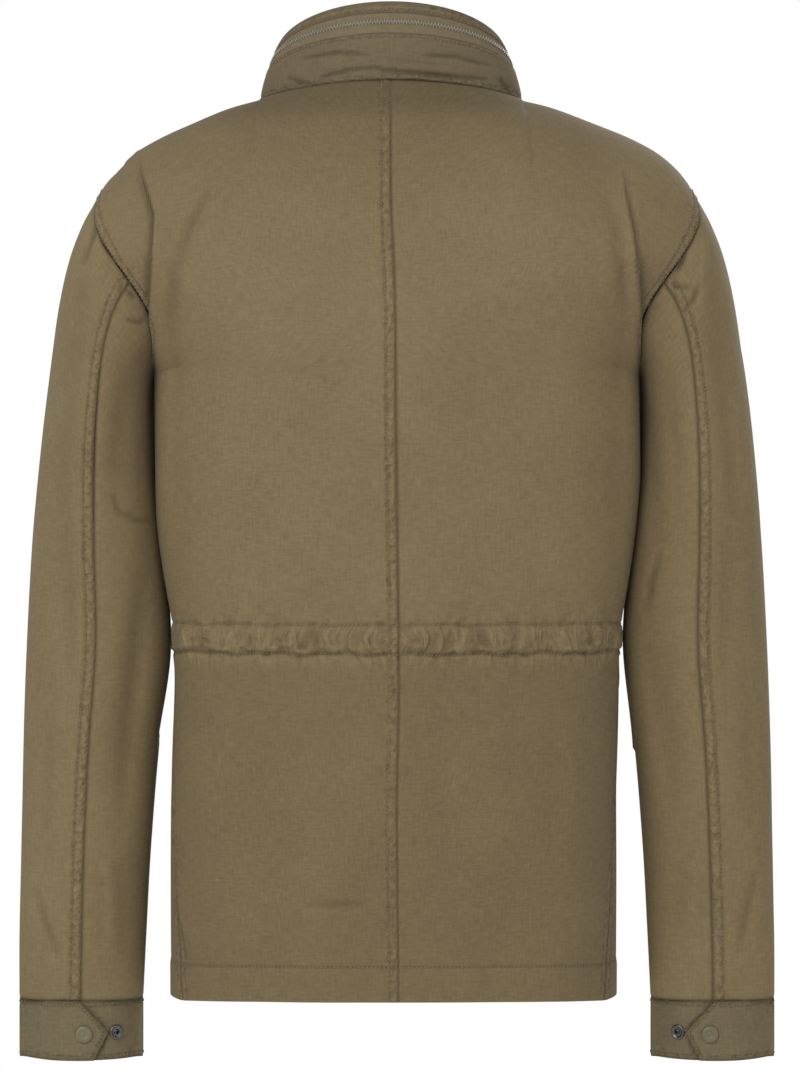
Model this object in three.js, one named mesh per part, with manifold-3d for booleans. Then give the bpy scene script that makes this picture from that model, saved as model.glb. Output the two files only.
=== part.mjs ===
// A hip-length cotton jacket in the shape it has on a wearer: hollow, with hanging sleeves,
// a stand collar with a zip round it, a gathered waist channel and snapped cuffs.
// Lengths are millimetres. +Z is up, the front faces -Y and the wearer's left is +X.
// The origin is the middle of the neck hole, level with the neck seam at the shoulders.
import * as THREE from 'three';
import Module from 'manifold-3d';
import { mergeVertices } from 'three/addons/utils/BufferGeometryUtils.js';

const { clamp, degToRad, lerp, radToDeg, smoothstep } = THREE.MathUtils;
const wasm = await Module();
wasm.setup();

// Cloth walls and seams
const CLOTH = 1.5;
const DOUBLE_CLOTH = 2.2;
const TAPE = 1.0;
const TAPE_RECESS = 0.6;
const SEAM_GAP = 0.3;

// Torso sections from the hem up to the underarm and the yoke. The side seam's angle is
// counted from the centre back.
const SECTIONS = [
  { z: -697, half: 173.0, back: 118, front: 120, seam: 66 },
  { z: -600, half: 173.5, back: 113, front: 117, seam: 74 },
  { z: -510, half: 173.0, back: 108, front: 113, seam: 82 },
  { z: -420, half: 173.0, back: 104, front: 110, seam: 87 },
  { z: -340, half: 178.5, back: 111, front: 117, seam: 90 },
  { z: -275, half: 183.0, back: 120, front: 125, seam: 90 },
  { z: -216, half: 185.0, back: 126, front: 128, seam: 90 },
  { z: -175, half: 185.0, back: 127, front: 127, seam: 90 },
  { z: -130, half: 185.0, back: 123, front: 120, seam: 90 },
];
const SQUARENESS = 2.4;
const SKIRT_SHIFT = { x: 2.6, from: -440, to: -560 };

// Armhole: an oval loop from the shoulder point down to the underarm
const ARMHOLE = {
  top: -79, bottom: -216, inner: 185, outer: 232.5, depth: 74, bendLow: -190, bendHigh: -93,
};
const ARMHOLE_RING_ANGLES = [158, 138, 120, 106, 92, 78];
const ARMHOLE_YOKE_ANGLES = [64, 50, 36, 24, 12, 0];
const SLEEVE_BACK_SEAM = 92;
const SLEEVE_FRONT_SEAM = 222;

// Neck seam, collar top edge and shoulder line
const NECK = { half: 102, back: 64, front: 82, backZ: 5, sideZ: -3, frontZ: -72, shift: 4.5 };
const COLLAR_TOP = { half: 90, back: 59, front: 72, sideZ: 32, slope: 0.57 };
const COLLAR_LEAN = 1.6;
const SHOULDER = [
  { x: 102, z: -3 },
  { x: 127, z: -10 },
  { x: 155, z: -21 },
  { x: 181, z: -32 },
  { x: 201, z: -43 },
  { x: 214.5, z: -54 },
  { x: 224, z: -65 },
  { x: 232.5, z: -79 },
];

// Rows of a body panel below the underarm, with the hem turn-up and the waist channel
const HEM_EDGE = -697;
const HEM_FOLD = -671.5;
const CHANNEL = { low: -431, mid: -420, high: -409, puff: 2.0, pucker: 1.3 };
const LOWER_ROWS = [
  HEM_EDGE, HEM_FOLD, HEM_FOLD + 3, -600, -530, -465, CHANNEL.low - 5, CHANNEL.low,
  CHANNEL.mid, CHANNEL.high, CHANNEL.high + 5, -350, -290, -245, ARMHOLE.bottom,
];
const HEM_RISE = 0.7;
const CENTRE_SEAM = [
  { z: -697, x: -4 },
  { z: -420, x: -1.5 },
  { z: -216, x: 1 },
  { z: -130, x: 0 },
];
const FRONT_EDGE = 5.5;

// Body panels. A row runs from the centre line to the side seam or the armhole; neckShare
// is where along the top row the neck ends and the shoulder seam starts. lift is how much
// higher the hem is at the centre line than at the side, fading out at LIFT_TOP.
const LIFT_TOP = -560;
const BACK = { turn: 0, yoke: -133, lift: 7, neckShare: 0.4, neckColumns: 9, shoulderColumns: 13 };
const FRONT = { turn: 180, yoke: -146, lift: 0, neckShare: 0.42, neckColumns: 7, shoulderColumns: 13 };

// Soft folds of the cloth on the body: a trough has a negative depth
const BODY_FOLDS = [
  { panel: BACK, side: 1, x: 179, top: -60, bottom: -480, width: 8, depth: 6.5, lean: 0.01 },
  { panel: BACK, side: -1, x: 179, top: -60, bottom: -480, width: 8, depth: 6.5, lean: 0.01 },
  { panel: BACK, side: 1, x: 168, top: -100, bottom: -330, width: 13, depth: -4.0, lean: -0.06 },
  { panel: BACK, side: 1, x: 110, top: -440, bottom: -740, width: 20, depth: -2.6, lean: 0.03 },
  { panel: BACK, side: 1, x: 52, top: -470, bottom: -730, width: 18, depth: 2.2, lean: -0.02 },
  { panel: BACK, side: -1, x: 172, top: -90, bottom: -300, width: 12, depth: -3.4, lean: -0.05 },
  { panel: BACK, side: -1, x: 84, top: -440, bottom: -740, width: 20, depth: -2.4, lean: 0.04 },
  { panel: BACK, side: -1, x: 128, top: -480, bottom: -740, width: 16, depth: 2.0, lean: 0 },
  { panel: FRONT, side: 1, x: 165, top: -110, bottom: -320, width: 14, depth: -3.6, lean: -0.05 },
  { panel: FRONT, side: 1, x: 95, top: -440, bottom: -740, width: 20, depth: -2.4, lean: 0.03 },
  { panel: FRONT, side: -1, x: 168, top: -110, bottom: -310, width: 13, depth: -3.6, lean: -0.05 },
  { panel: FRONT, side: -1, x: 118, top: -450, bottom: -740, width: 18, depth: -2.2, lean: -0.02 },
];

// Sleeve sections from the armhole to the cuff: the outer and the inner edge as seen from
// behind, and how far each reaches to the back and to the front
const SLEEVE = [
  { outerX: 232.5, outerZ: -79, innerX: 185.0, innerZ: -216, back: 74, front: -74, armhole: 1 },
  { outerX: 243.5, outerZ: -99, innerX: 188.0, innerZ: -223, back: 77, front: -79, armhole: 0.8 },
  { outerX: 254.0, outerZ: -126, innerX: 189.0, innerZ: -232, back: 78, front: -83, armhole: 0.5 },
  { outerX: 262.5, outerZ: -162, innerX: 188.8, innerZ: -244, back: 76, front: -85, armhole: 0.22 },
  { outerX: 270.0, outerZ: -213, innerX: 188.2, innerZ: -266, back: 72, front: -85, armhole: 0.05 },
  { outerX: 277.5, outerZ: -275, innerX: 186.2, innerZ: -300, back: 66, front: -83, armhole: 0 },
  { outerX: 284.0, outerZ: -345, innerX: 181.4, innerZ: -355, back: 59, front: -81, armhole: 0 },
  { outerX: 288.5, outerZ: -425, innerX: 176.4, innerZ: -428, back: 51, front: -79, armhole: 0 },
  { outerX: 291.5, outerZ: -505, innerX: 185.5, innerZ: -505, back: 43, front: -76, armhole: 0 },
  { outerX: 293.5, outerZ: -585, innerX: 192.0, innerZ: -585, back: 35, front: -71, armhole: 0 },
  { outerX: 294.5, outerZ: -650, innerX: 195.5, innerZ: -650, back: 29, front: -63, armhole: 0 },
  { outerX: 294.5, outerZ: -702, innerX: 198.0, innerZ: -702, back: 24, front: -56, armhole: 0 },
];
const SLEEVE_FOLDS = [
  { angle: 60, row: 2.2, spread: 16, length: 1.4, depth: -2.6, lean: 7 },
  { angle: 118, row: 4.0, spread: 14, length: 1.6, depth: -2.4, lean: -6 },
  { angle: 70, row: 6.4, spread: 15, length: 1.2, depth: -2.6, lean: 9 },
  { angle: 128, row: 7.2, spread: 16, length: 1.0, depth: -2.8, lean: -8 },
  { angle: 300, row: 6.8, spread: 18, length: 1.2, depth: -3.0, lean: 8 },
  { angle: 245, row: 6.2, spread: 16, length: 1.1, depth: -2.8, lean: -8 },
  { angle: 20, row: 9.2, spread: 16, length: 0.9, depth: -1.8, lean: 6 },
];

// Cuff band with a pointed end that laps over its other end, and its snap
const CUFF = { top: -702, bottom: -748, tip: 0.47, start: 84, lapFrom: 402, lapTo: 436 };
const CUFF_END = { bottom: 464, tip: 477, top: 451 };
const CUFF_COLUMNS = 22;
const CUFF_END_COLUMNS = 4;
const SNAP_CAP = { radius: 6.6, height: 2.0, angle: 455, level: 0.45 };
const SNAP_STUD = { radius: 5.7, height: 2.6, angle: 126, level: 0.46 };

// Collar bands by share of the collar's height
const COLLAR_BANDS = {
  collar_stand: { from: 0, to: 0.6, rows: 2, wall: DOUBLE_CLOTH, recess: 0 },
  collar_zip_tape: { from: 0.6, to: 0.85, rows: 1, wall: TAPE, recess: TAPE_RECESS },
  collar_top: { from: 0.85, to: 1, rows: 1, wall: DOUBLE_CLOTH, recess: 0 },
};

// Zips
const FRONT_TAPE = { inner: 0.5, outer: 14, columns: 3, collarGap: 0.8 };
const SLIDER = { width: 8, length: 11, thick: 3.4, lug: 2.2, lugReach: 5.2, hole: 1.25 };
const PULL = { width: 6.4, length: 27, thick: 1.6, arm: 1.3, pin: 0.95, side: 0.35, round: 2.2 };
const FRONT_SLIDER_LEVEL = 0.72;
const COLLAR_SLIDER_ANGLE = 161;
const COLLAR_SLIDER_LEVEL = 0.725;

const SIDES = [['left', 1], ['right', -1]];
const COLOURS = {
  cloth: { color: 0x7e6f52, roughness: 0.92, metalness: 0 },
  tape: { color: 0x877861, roughness: 0.95, metalness: 0 },
  metal: { color: 0xa9a59b, roughness: 0.35, metalness: 0.9 },
  cap: { color: 0x6f6a4e, roughness: 0.45, metalness: 0.1 },
};

const jacket = new THREE.Group();

// Values from one to another in equal steps, both ends included.
function evenSteps(from, to, steps) {
  return Array.from({ length: steps + 1 }, (_, i) => lerp(from, to, i / steps));
}

// Power that keeps the sign of its base.
function signedPower(value, power) {
  return Math.sign(value) * Math.abs(value) ** power;
}

// Smooth value of a table's column at a place along another, rising or falling, column.
function column(table, along, at, name) {
  const last = table.length - 1;
  const way = Math.sign(table[last][along] - table[0][along]);
  let i = 0;
  while (i < last - 1 && (at - table[i + 1][along]) * way > 0) i += 1;
  const slope = (k) => {
    const before = table[Math.max(k - 1, 0)];
    const after = table[Math.min(k + 1, last)];
    return (after[name] - before[name]) / (after[along] - before[along]);
  };
  const span = table[i + 1][along] - table[i][along];
  const t = clamp((at - table[i][along]) / span, 0, 1);
  const start = table[i][name] * (1 + 2 * t) * (1 - t) ** 2 + slope(i) * span * t * (1 - t) ** 2;
  const end = table[i + 1][name] * t * t * (3 - 2 * t) + slope(i + 1) * span * t * t * (t - 1);
  return start + end;
}

// A point of the armhole seam. The angle runs from the shoulder point over the back (90)
// to the underarm (180) and up the front.
function armhole(angle) {
  const a = degToRad(angle);
  const z = lerp(ARMHOLE.bottom, ARMHOLE.top, (1 + Math.cos(a)) / 2);
  const x = lerp(ARMHOLE.inner, ARMHOLE.outer, smoothstep(z, ARMHOLE.bendLow, ARMHOLE.bendHigh));
  return new THREE.Vector3(x, ARMHOLE.depth * Math.sin(a), z);
}

// Half-width of the torso. Above the underarm it makes the section meet the armhole.
function torsoHalf(z, depth) {
  if (z <= ARMHOLE.bottom) return column(SECTIONS, 'z', z, 'half');
  const share = (2 * (z - ARMHOLE.bottom)) / (ARMHOLE.top - ARMHOLE.bottom) - 1;
  const edge = armhole(radToDeg(Math.acos(clamp(share, -1, 1))));
  return edge.x / (1 - (edge.y / depth) ** SQUARENESS) ** (1 / SQUARENESS);
}

// A point of the torso: 0 degrees is the centre back, 90 the side and 180 the centre front.
function torso(angle, z) {
  const a = degToRad(angle);
  const depth = column(SECTIONS, 'z', z, Math.cos(a) > 0 ? 'back' : 'front');
  const half = torsoHalf(z, depth);
  const x = half * signedPower(Math.sin(a), 2 / SQUARENESS);
  return new THREE.Vector3(x, depth * signedPower(Math.cos(a), 2 / SQUARENESS), z);
}

// The torso's angle where a panel ends, at its side seam or at the armhole.
function edgeAngle(panel, z) {
  if (z <= ARMHOLE.bottom) return column(SECTIONS, 'z', z, 'seam');
  const depth = column(SECTIONS, 'z', z, panel === BACK ? 'back' : 'front');
  const share = (2 * (z - ARMHOLE.bottom)) / (ARMHOLE.top - ARMHOLE.bottom) - 1;
  const edge = armhole(radToDeg(Math.acos(share)));
  const sine = (edge.x / torsoHalf(z, depth)) ** (SQUARENESS / 2);
  const fromCentre = radToDeg(Math.asin(clamp(sine, 0, 1)));
  return panel === BACK ? fromCentre : 180 - fromCentre;
}

// The neck seam and the collar's top edge, both by angle from the centre back.
function neckSeam(angle) {
  const a = degToRad(angle);
  const cosine = Math.cos(a);
  const depth = cosine > 0 ? NECK.back : NECK.front;
  const z = cosine > 0
    ? lerp(NECK.sideZ, NECK.backZ, cosine ** 2)
    : lerp(NECK.sideZ, NECK.frontZ, Math.abs(cosine) ** 1.5);
  return new THREE.Vector3(NECK.half * Math.sin(a), depth * cosine, z);
}

function collarEdge(angle) {
  const a = degToRad(angle);
  const y = (Math.cos(a) > 0 ? COLLAR_TOP.back : COLLAR_TOP.front) * Math.cos(a);
  return new THREE.Vector3(COLLAR_TOP.half * Math.sin(a), y, COLLAR_TOP.sideZ + COLLAR_TOP.slope * y);
}

// A point of the collar: it stands up from the neck seam and leans in towards its top edge.
function collar(angle, level) {
  const low = neckSeam(angle);
  const high = collarEdge(angle);
  const point = low.clone().lerp(high, level ** COLLAR_LEAN);
  return point.setZ(lerp(low.z, high.z, level));
}

// The top row of a body panel: the neck seam, then the shoulder seam.
function topRow(panel, s) {
  if (s <= panel.neckShare) {
    const fromCentre = (90 * s) / panel.neckShare;
    return neckSeam(panel === BACK ? fromCentre : 180 - fromCentre);
  }
  const x = lerp(NECK.half, ARMHOLE.outer, (s - panel.neckShare) / (1 - panel.neckShare));
  return new THREE.Vector3(x, 0, column(SHOULDER, 'x', x, 'z'));
}

// A row below the yoke, at one height at the centre and another at the edge.
function torsoRow(panel, centreZ, edgeZ, s) {
  const z = lerp(centreZ, edgeZ, s * s);
  return torso(lerp(panel.turn, edgeAngle(panel, z), s), z);
}

// A row of the yoke, rounded over the shoulder up to the top row.
function yokeRow(panel, angle, s) {
  const start = ARMHOLE_RING_ANGLES.at(-1);
  const rise = 1 - angle / start;
  const along = (at) => {
    const low = torsoRow(panel, panel.yoke, armhole(start).z, at);
    const high = topRow(panel, at);
    const round = smoothstep(at, 0, panel.neckShare);
    const back = lerp(1 - rise ** 1.6, Math.cos((rise * Math.PI) / 2), round);
    const up = lerp(rise, Math.sin((rise * Math.PI) / 2), round);
    const x = lerp(low.x, high.x, up);
    return new THREE.Vector3(x, lerp(high.y, low.y, back), lerp(low.z, high.z, up));
  };
  const edge = armhole(panel === BACK ? angle : 360 - angle);
  const miss = edge.sub(along(1));
  return along(s).addScaledVector(miss, smoothstep(s, 0.4, 1));
}

// All rows of a body panel, each a function of the share of its length.
function panelRows(panel) {
  const lower = LOWER_ROWS.map((z) => {
    const lift = panel.lift * smoothstep(-z, -LIFT_TOP, -HEM_EDGE);
    return (s) => torsoRow(panel, z + lift, z, s);
  });
  const ring = ARMHOLE_RING_ANGLES.map((angle, i) => {
    const centreZ = lerp(ARMHOLE.bottom, panel.yoke, (i + 1) / ARMHOLE_RING_ANGLES.length);
    return (s) => torsoRow(panel, centreZ, armhole(angle).z, s);
  });
  const yoke = ARMHOLE_YOKE_ANGLES.map((angle) => (s) => yokeRow(panel, angle, s));
  return [...lower, ...ring, ...yoke];
}

// The share of a row at which it is so far from the centre line.
function shareAt(row, x) {
  let low = -0.3;
  let high = 0.4;
  for (let i = 0; i < 30; i += 1) {
    const middle = (low + high) / 2;
    if (row(middle).x < x) low = middle;
    else high = middle;
  }
  return (low + high) / 2;
}

// Shares of a panel's columns on one row, from the centre line's piece edge to the side.
function panelShares(panel, row, side) {
  const centreX = panel === BACK ? side * column(CENTRE_SEAM, 'z', row(0).z, 'x') : FRONT_EDGE;
  const start = shareAt(row, centreX);
  const { neckShare, neckColumns, shoulderColumns } = panel;
  return [...evenSteps(start, neckShare, neckColumns), ...evenSteps(neckShare, 1, shoulderColumns).slice(1)];
}

// Mirrors a point for the wearer's right side. The neck and the skirt sit a little to the left.
function place(point, side) {
  const near = 1 - smoothstep(point.x, 112, 225);
  const neckShift = NECK.shift * smoothstep(point.z, -200, -75) * near;
  const skirtShift = SKIRT_SHIFT.x * smoothstep(-point.z, -SKIRT_SHIFT.from, -SKIRT_SHIFT.to);
  const onBody = point.x < ARMHOLE.inner + 1 ? 1 : 0;
  return new THREE.Vector3(side * point.x + neckShift + skirtShift * onBody, point.y, point.z);
}

// Unit normals of a grid of points, pointing away from a point inside it, given by row.
function gridNormals(points, inside) {
  const rows = points.length;
  const columns = points[0].length;
  return points.map((line, r) => line.map((point, c) => {
    const across = new THREE.Vector3().subVectors(
      line[Math.min(c + 1, columns - 1)], line[Math.max(c - 1, 0)]);
    const up = new THREE.Vector3().subVectors(
      points[Math.min(r + 1, rows - 1)][c], points[Math.max(r - 1, 0)][c]);
    const normal = across.cross(up).normalize();
    const outward = new THREE.Vector3().subVectors(point, inside(point, r));
    return normal.dot(outward) < 0 ? normal.negate() : normal;
  }));
}

// A piece of cloth as a grid of seam-to-seam points, with its wall and relief.
const sheets = [];
function addSheet(name, material, points, inside, wall, options = {}) {
  const normals = gridNormals(points, inside);
  const plain = { relief: () => 0, rise: () => 0, recess: 0 };
  sheets.push({ ...plain, name, material, points, normals, wall, ...options });
}

// Pieces that meet at a seam share their normals there, so their walls are mitred.
function shareSeamNormals() {
  const corners = new Map();
  const key = (p) => [p.x, p.y, p.z].map((v) => Math.round(v * 20)).join(' ');
  const each = (visit) => {
    for (const { points, normals } of sheets) {
      points.forEach((line, r) => line.forEach((p, c) => visit(key(p), normals[r][c])));
    }
  };
  each((at, normal) => corners.set(at, (corners.get(at) ?? new THREE.Vector3()).add(normal)));
  each((at, normal) => normal.copy(corners.get(at)).normalize());
}

// Moves a grid's border inwards, along its surface, by half the seam gap.
function insetBorder({ points, normals }) {
  const lastRow = points.length - 1;
  const lastColumn = points[0].length - 1;
  return points.map((line, r) => line.map((point, c) => {
    const moved = point.clone();
    const inset = (before, after, inner) => {
      const along = new THREE.Vector3().subVectors(after, before).normalize();
      const inwards = along.cross(normals[r][c]).normalize();
      const toInner = new THREE.Vector3().subVectors(inner, point);
      moved.addScaledVector(inwards, (Math.sign(inwards.dot(toInner)) * SEAM_GAP) / 2);
    };
    if (c === 0 || c === lastColumn) {
      const inner = points[r][c === 0 ? 1 : lastColumn - 1];
      inset(points[Math.max(r - 1, 0)][c], points[Math.min(r + 1, lastRow)][c], inner);
    }
    if (r === 0 || r === lastRow) {
      const inner = points[r === 0 ? 1 : lastRow - 1][c];
      inset(line[Math.max(c - 1, 0)], line[Math.min(c + 1, lastColumn)], inner);
    }
    return moved;
  }));
}

// A closed wall between an outer and an inner grid of points.
function wallGeometry(outer, inner) {
  const rows = outer.length;
  const columns = outer[0].length;
  const positions = [...outer.flat(), ...inner.flat()].flatMap((p) => [p.x, p.y, p.z]);
  const at = (side, r, c) => (side * rows + r) * columns + c;
  const faces = [];
  const quad = (a, b, c, d) => faces.push([a, b, c], [a, c, d]);
  for (let r = 0; r < rows - 1; r += 1) {
    for (let c = 0; c < columns - 1; c += 1) {
      quad(at(0, r, c), at(0, r, c + 1), at(0, r + 1, c + 1), at(0, r + 1, c));
      faces.push([at(1, r, c), at(1, r + 1, c + 1), at(1, r, c + 1)]);
      faces.push([at(1, r, c), at(1, r + 1, c), at(1, r + 1, c + 1)]);
    }
    const end = columns - 1;
    quad(at(0, r, 0), at(0, r + 1, 0), at(1, r + 1, 0), at(1, r, 0));
    quad(at(0, r + 1, end), at(0, r, end), at(1, r, end), at(1, r + 1, end));
  }
  for (let c = 0; c < columns - 1; c += 1) {
    const end = rows - 1;
    quad(at(0, 0, c + 1), at(0, 0, c), at(1, 0, c), at(1, 0, c + 1));
    quad(at(0, end, c), at(0, end, c + 1), at(1, end, c + 1), at(1, end, c));
  }
  return outwardGeometry(positions, faces);
}

// A geometry whose faces point out, whichever way round the grid was listed.
function outwardGeometry(positions, faces) {
  const corner = (i) => new THREE.Vector3().fromArray(positions, i * 3);
  const volume = faces.reduce((sum, [a, b, c]) => sum + corner(a).dot(corner(b).cross(corner(c))), 0);
  const index = faces.flatMap(([a, b, c]) => (volume > 0 ? [a, b, c] : [a, c, b]));
  const geometry = new THREE.BufferGeometry();
  geometry.setAttribute('position', new THREE.Float32BufferAttribute(positions, 3));
  geometry.setIndex(index);
  geometry.computeVertexNormals();
  return geometry;
}

function addMesh(name, geometry, material) {
  const mesh = new THREE.Mesh(geometry, new THREE.MeshStandardMaterial(COLOURS[material]));
  mesh.name = name;
  jacket.add(mesh);
  return mesh;
}

// Turns every sheet into its solid: relief moves the whole wall, rise only its outer face.
function addWalls() {
  shareSeamNormals();
  for (const sheet of sheets) {
    const inset = insetBorder(sheet);
    const moved = (distance) => inset.map((line, r) => line.map((p, c) => (
      p.clone().addScaledVector(sheet.normals[r][c], distance(r, c)))));
    const outer = moved((r, c) => sheet.relief(r, c) + sheet.rise(r, c) - sheet.recess);
    const inner = moved((r, c) => sheet.relief(r, c) - sheet.recess - sheet.wall);
    addMesh(sheet.name, wallGeometry(outer, inner), sheet.material);
  }
}

// How near a height is to the middle of the waist channel, and how far the channel stands out.
function inChannel(z) {
  return clamp(1 - Math.abs(z - CHANNEL.mid) / (CHANNEL.high - CHANNEL.mid), 0, 1);
}

function channelPuff(z) {
  return CHANNEL.puff * inChannel(z);
}

// Relief of a body panel: its soft folds, and the puffed and puckered waist channel.
function bodyRelief(panel, side, points) {
  const folds = BODY_FOLDS.filter((fold) => fold.panel === panel && fold.side === side);
  const columns = points[0].length - 1;
  return (r, c) => {
    const { x, z } = points[r][c];
    const clear = smoothstep(Math.min(c, columns - c), 0, 2);
    const folded = folds.reduce((sum, fold) => {
      const share = clamp((z - fold.bottom) / (fold.top - fold.bottom), 0, 1);
      const offset = side * x - fold.x - fold.lean * (z - fold.top);
      return sum + fold.depth * Math.sin(Math.PI * share) * Math.exp(-((offset / fold.width) ** 2));
    }, 0);
    const pucker = (c % 2 ? 1 : -1) * CHANNEL.pucker * (0.65 + 0.35 * Math.sin(2.3 * c + side));
    return clear * (folded + inChannel(z) * pucker) + channelPuff(z);
  };
}

function addBody() {
  const inside = (p) => new THREE.Vector3(0, 0, Math.min(p.z, -150));
  for (const [sideName, side] of SIDES) {
    for (const [panelName, panel] of [['back', BACK], ['front', FRONT]]) {
      const points = panelRows(panel).map((row) => (
        panelShares(panel, row, side).map((s) => place(row(s), side))));
      const rise = (r) => (r <= LOWER_ROWS.indexOf(HEM_FOLD) ? HEM_RISE : 0);
      addSheet(`${panelName}_${sideName}`, 'cloth', points, inside, CLOTH,
        { relief: bodyRelief(panel, side, points), rise });
    }
  }
}

// A point of the sleeve by the row of its table, which may lie between two rows, and angle.
function sleevePoint(row, angle) {
  const a = degToRad(angle);
  const indexed = SLEEVE.map((section, i) => ({ ...section, i }));
  const at = (name) => column(indexed, 'i', row, name);
  const share = (1 + Math.cos(a)) / 2;
  const reach = Math.sin(a) > 0 ? at('back') : -at('front');
  const point = new THREE.Vector3(
    lerp(at('innerX'), at('outerX'), share),
    reach * Math.sin(a),
    lerp(at('innerZ'), at('outerZ'), share),
  );
  const oval = new THREE.Vector3(
    lerp(ARMHOLE.inner, ARMHOLE.outer, share),
    ARMHOLE.depth * Math.sin(a),
    lerp(ARMHOLE.bottom, ARMHOLE.top, share),
  );
  return point.addScaledVector(armhole(angle).sub(oval), Math.max(at('armhole'), 0));
}

function sleeveRelief(angles, mirror) {
  return (r, c) => {
    const angle = (angles[c] + 360) % 360;
    const ends = smoothstep(Math.min(r, SLEEVE.length - 1 - r), 0, 1.5);
    const edges = smoothstep(Math.min(c, angles.length - 1 - c), 0, 1.5);
    return ends * edges * SLEEVE_FOLDS.reduce((sum, fold) => {
      const level = (r - fold.row - mirror) / fold.length;
      const offset = (angle - fold.angle - fold.lean * level) / fold.spread;
      return sum + fold.depth * Math.exp(-level * level - offset * offset);
    }, 0);
  };
}

function addSleeves() {
  const back = [...ARMHOLE_YOKE_ANGLES.toReversed(), ...ARMHOLE_RING_ANGLES.toReversed(), 180];
  const round = [...back, ...back.toReversed().slice(1).map((angle) => 360 - angle)];
  const turned = [...round, ...round.slice(1).map((angle) => 360 + angle)];
  const between = (from, to) => turned.filter((angle) => angle >= from && angle <= to);
  const pieces = [
    ['top', between(SLEEVE_FRONT_SEAM, 360 + SLEEVE_BACK_SEAM)],
    ['under', between(SLEEVE_BACK_SEAM, SLEEVE_FRONT_SEAM)],
  ];
  const rows = SLEEVE.map((_, i) => i);
  for (const [sideName, side] of SIDES) {
    for (const [pieceName, angles] of pieces) {
      const points = rows.map((row) => angles.map((angle) => place(sleevePoint(row, angle), side)));
      const inside = (_, row) => place(sleevePoint(row, 0).lerp(sleevePoint(row, 180), 0.5), side);
      addSheet(`sleeve_${sideName}_${pieceName}`, 'cloth', points, inside, CLOTH,
        { relief: sleeveRelief(angles, side > 0 ? 0 : 0.35) });
    }
  }
}

// A point on the outside of a cuff. Past the lap the band lies on its own other end.
function cuffPoint(angle, level) {
  const end = SLEEVE.at(-1);
  const a = degToRad(angle);
  const lift = (DOUBLE_CLOTH + SEAM_GAP) * smoothstep(angle, CUFF.lapFrom, CUFF.lapTo);
  const halfWidth = (end.outerX - end.innerX) / 2 + lift;
  const halfDepth = (end.back - end.front) / 2 + lift;
  return new THREE.Vector3(
    (end.outerX + end.innerX) / 2 + halfWidth * Math.cos(a),
    (end.back + end.front) / 2 + halfDepth * Math.sin(a),
    lerp(CUFF.bottom, CUFF.top, level));
}

// The angle at which the pointed end of a cuff stops.
function cuffEnd(level) {
  return level < CUFF.tip
    ? lerp(CUFF_END.bottom, CUFF_END.tip, level / CUFF.tip)
    : lerp(CUFF_END.tip, CUFF_END.top, (level - CUFF.tip) / (1 - CUFF.tip));
}

function addCuffs() {
  const levels = [0, CUFF.tip, 1];
  for (const [sideName, side] of SIDES) {
    const points = levels.map((level) => [
      ...evenSteps(CUFF.start, CUFF.lapTo, CUFF_COLUMNS),
      ...evenSteps(CUFF.lapTo, cuffEnd(level), CUFF_END_COLUMNS).slice(1),
    ].map((angle) => place(cuffPoint(angle, level), side)));
    const inside = () => place(cuffPoint(0, 0.5).lerp(cuffPoint(180, 0.5), 0.5), side);
    addSheet(`cuff_${sideName}`, 'cloth', points, inside, DOUBLE_CLOTH);
    addSnap(`cuff_${sideName}_snap_cap`, 'cap', capProfile(), SNAP_CAP, side);
    addSnap(`cuff_${sideName}_snap_stud`, 'metal', studProfile(), SNAP_STUD, side);
  }
}

// Lathe profiles of the two snap parts, from the seat up
function capProfile() {
  const { radius, height } = SNAP_CAP;
  return [
    [0, 0], [radius - 0.5, 0], [radius, 0.6], [radius - 0.6, height * 0.75],
    [radius * 0.5, height], [0, height],
  ];
}

function studProfile() {
  const { radius, height } = SNAP_STUD;
  return [
    [0, 0], [radius - 0.4, 0], [radius, 0.5], [radius - 0.5, 1.3], [radius * 0.62, 1.1],
    [radius * 0.42, 0.9], [radius * 0.4, height - 0.4], [radius * 0.25, height], [0, height],
  ];
}

// A snap part standing on the cuff, its axis along the cuff's normal.
function addSnap(name, material, profile, { angle, level }, side) {
  const seat = place(cuffPoint(angle, level), side);
  const beside = place(cuffPoint(angle + 1, level), side);
  const upward = new THREE.Vector3(0, 0, side);
  const normal = beside.sub(seat).cross(upward).normalize();
  const outline = profile.map(([r, h]) => new THREE.Vector2(r, h));
  const mesh = addMesh(name, new THREE.LatheGeometry(outline, 20), material);
  mesh.quaternion.setFromUnitVectors(new THREE.Vector3(0, 1, 0), normal);
  mesh.position.copy(seat).addScaledVector(normal, SEAM_GAP);
}

// Angles of the neck seam at the columns of the back and front panels, for one side.
function neckAngles() {
  const angles = (panel) => panelShares(panel, (s) => topRow(panel, s), 1)
    .slice(0, panel.neckColumns + 1).map((s) => (90 * s) / panel.neckShare);
  const front = angles(FRONT).map((angle) => 180 - angle);
  return [...angles(BACK), ...front.reverse().slice(1)];
}

function addCollar() {
  const half = neckAngles();
  const right = half.slice(1).reverse().map((angle) => ({ angle, side: -1 }));
  const around = [...right, ...half.map((angle) => ({ angle, side: 1 }))];
  const inside = (p) => new THREE.Vector3(NECK.shift, 0, p.z);
  for (const [name, band] of Object.entries(COLLAR_BANDS)) {
    const points = evenSteps(band.from, band.to, band.rows).map((level) => (
      around.map(({ angle, side }) => placeCollar(collar(angle, level), side))));
    const material = name === 'collar_zip_tape' ? 'tape' : 'cloth';
    addSheet(name, material, points, inside, band.wall, { recess: band.recess });
  }
}

// The whole collar sits as far to the side as the neck seam does.
function placeCollar(point, side) {
  return new THREE.Vector3(side * point.x + NECK.shift, point.y, point.z);
}

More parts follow.
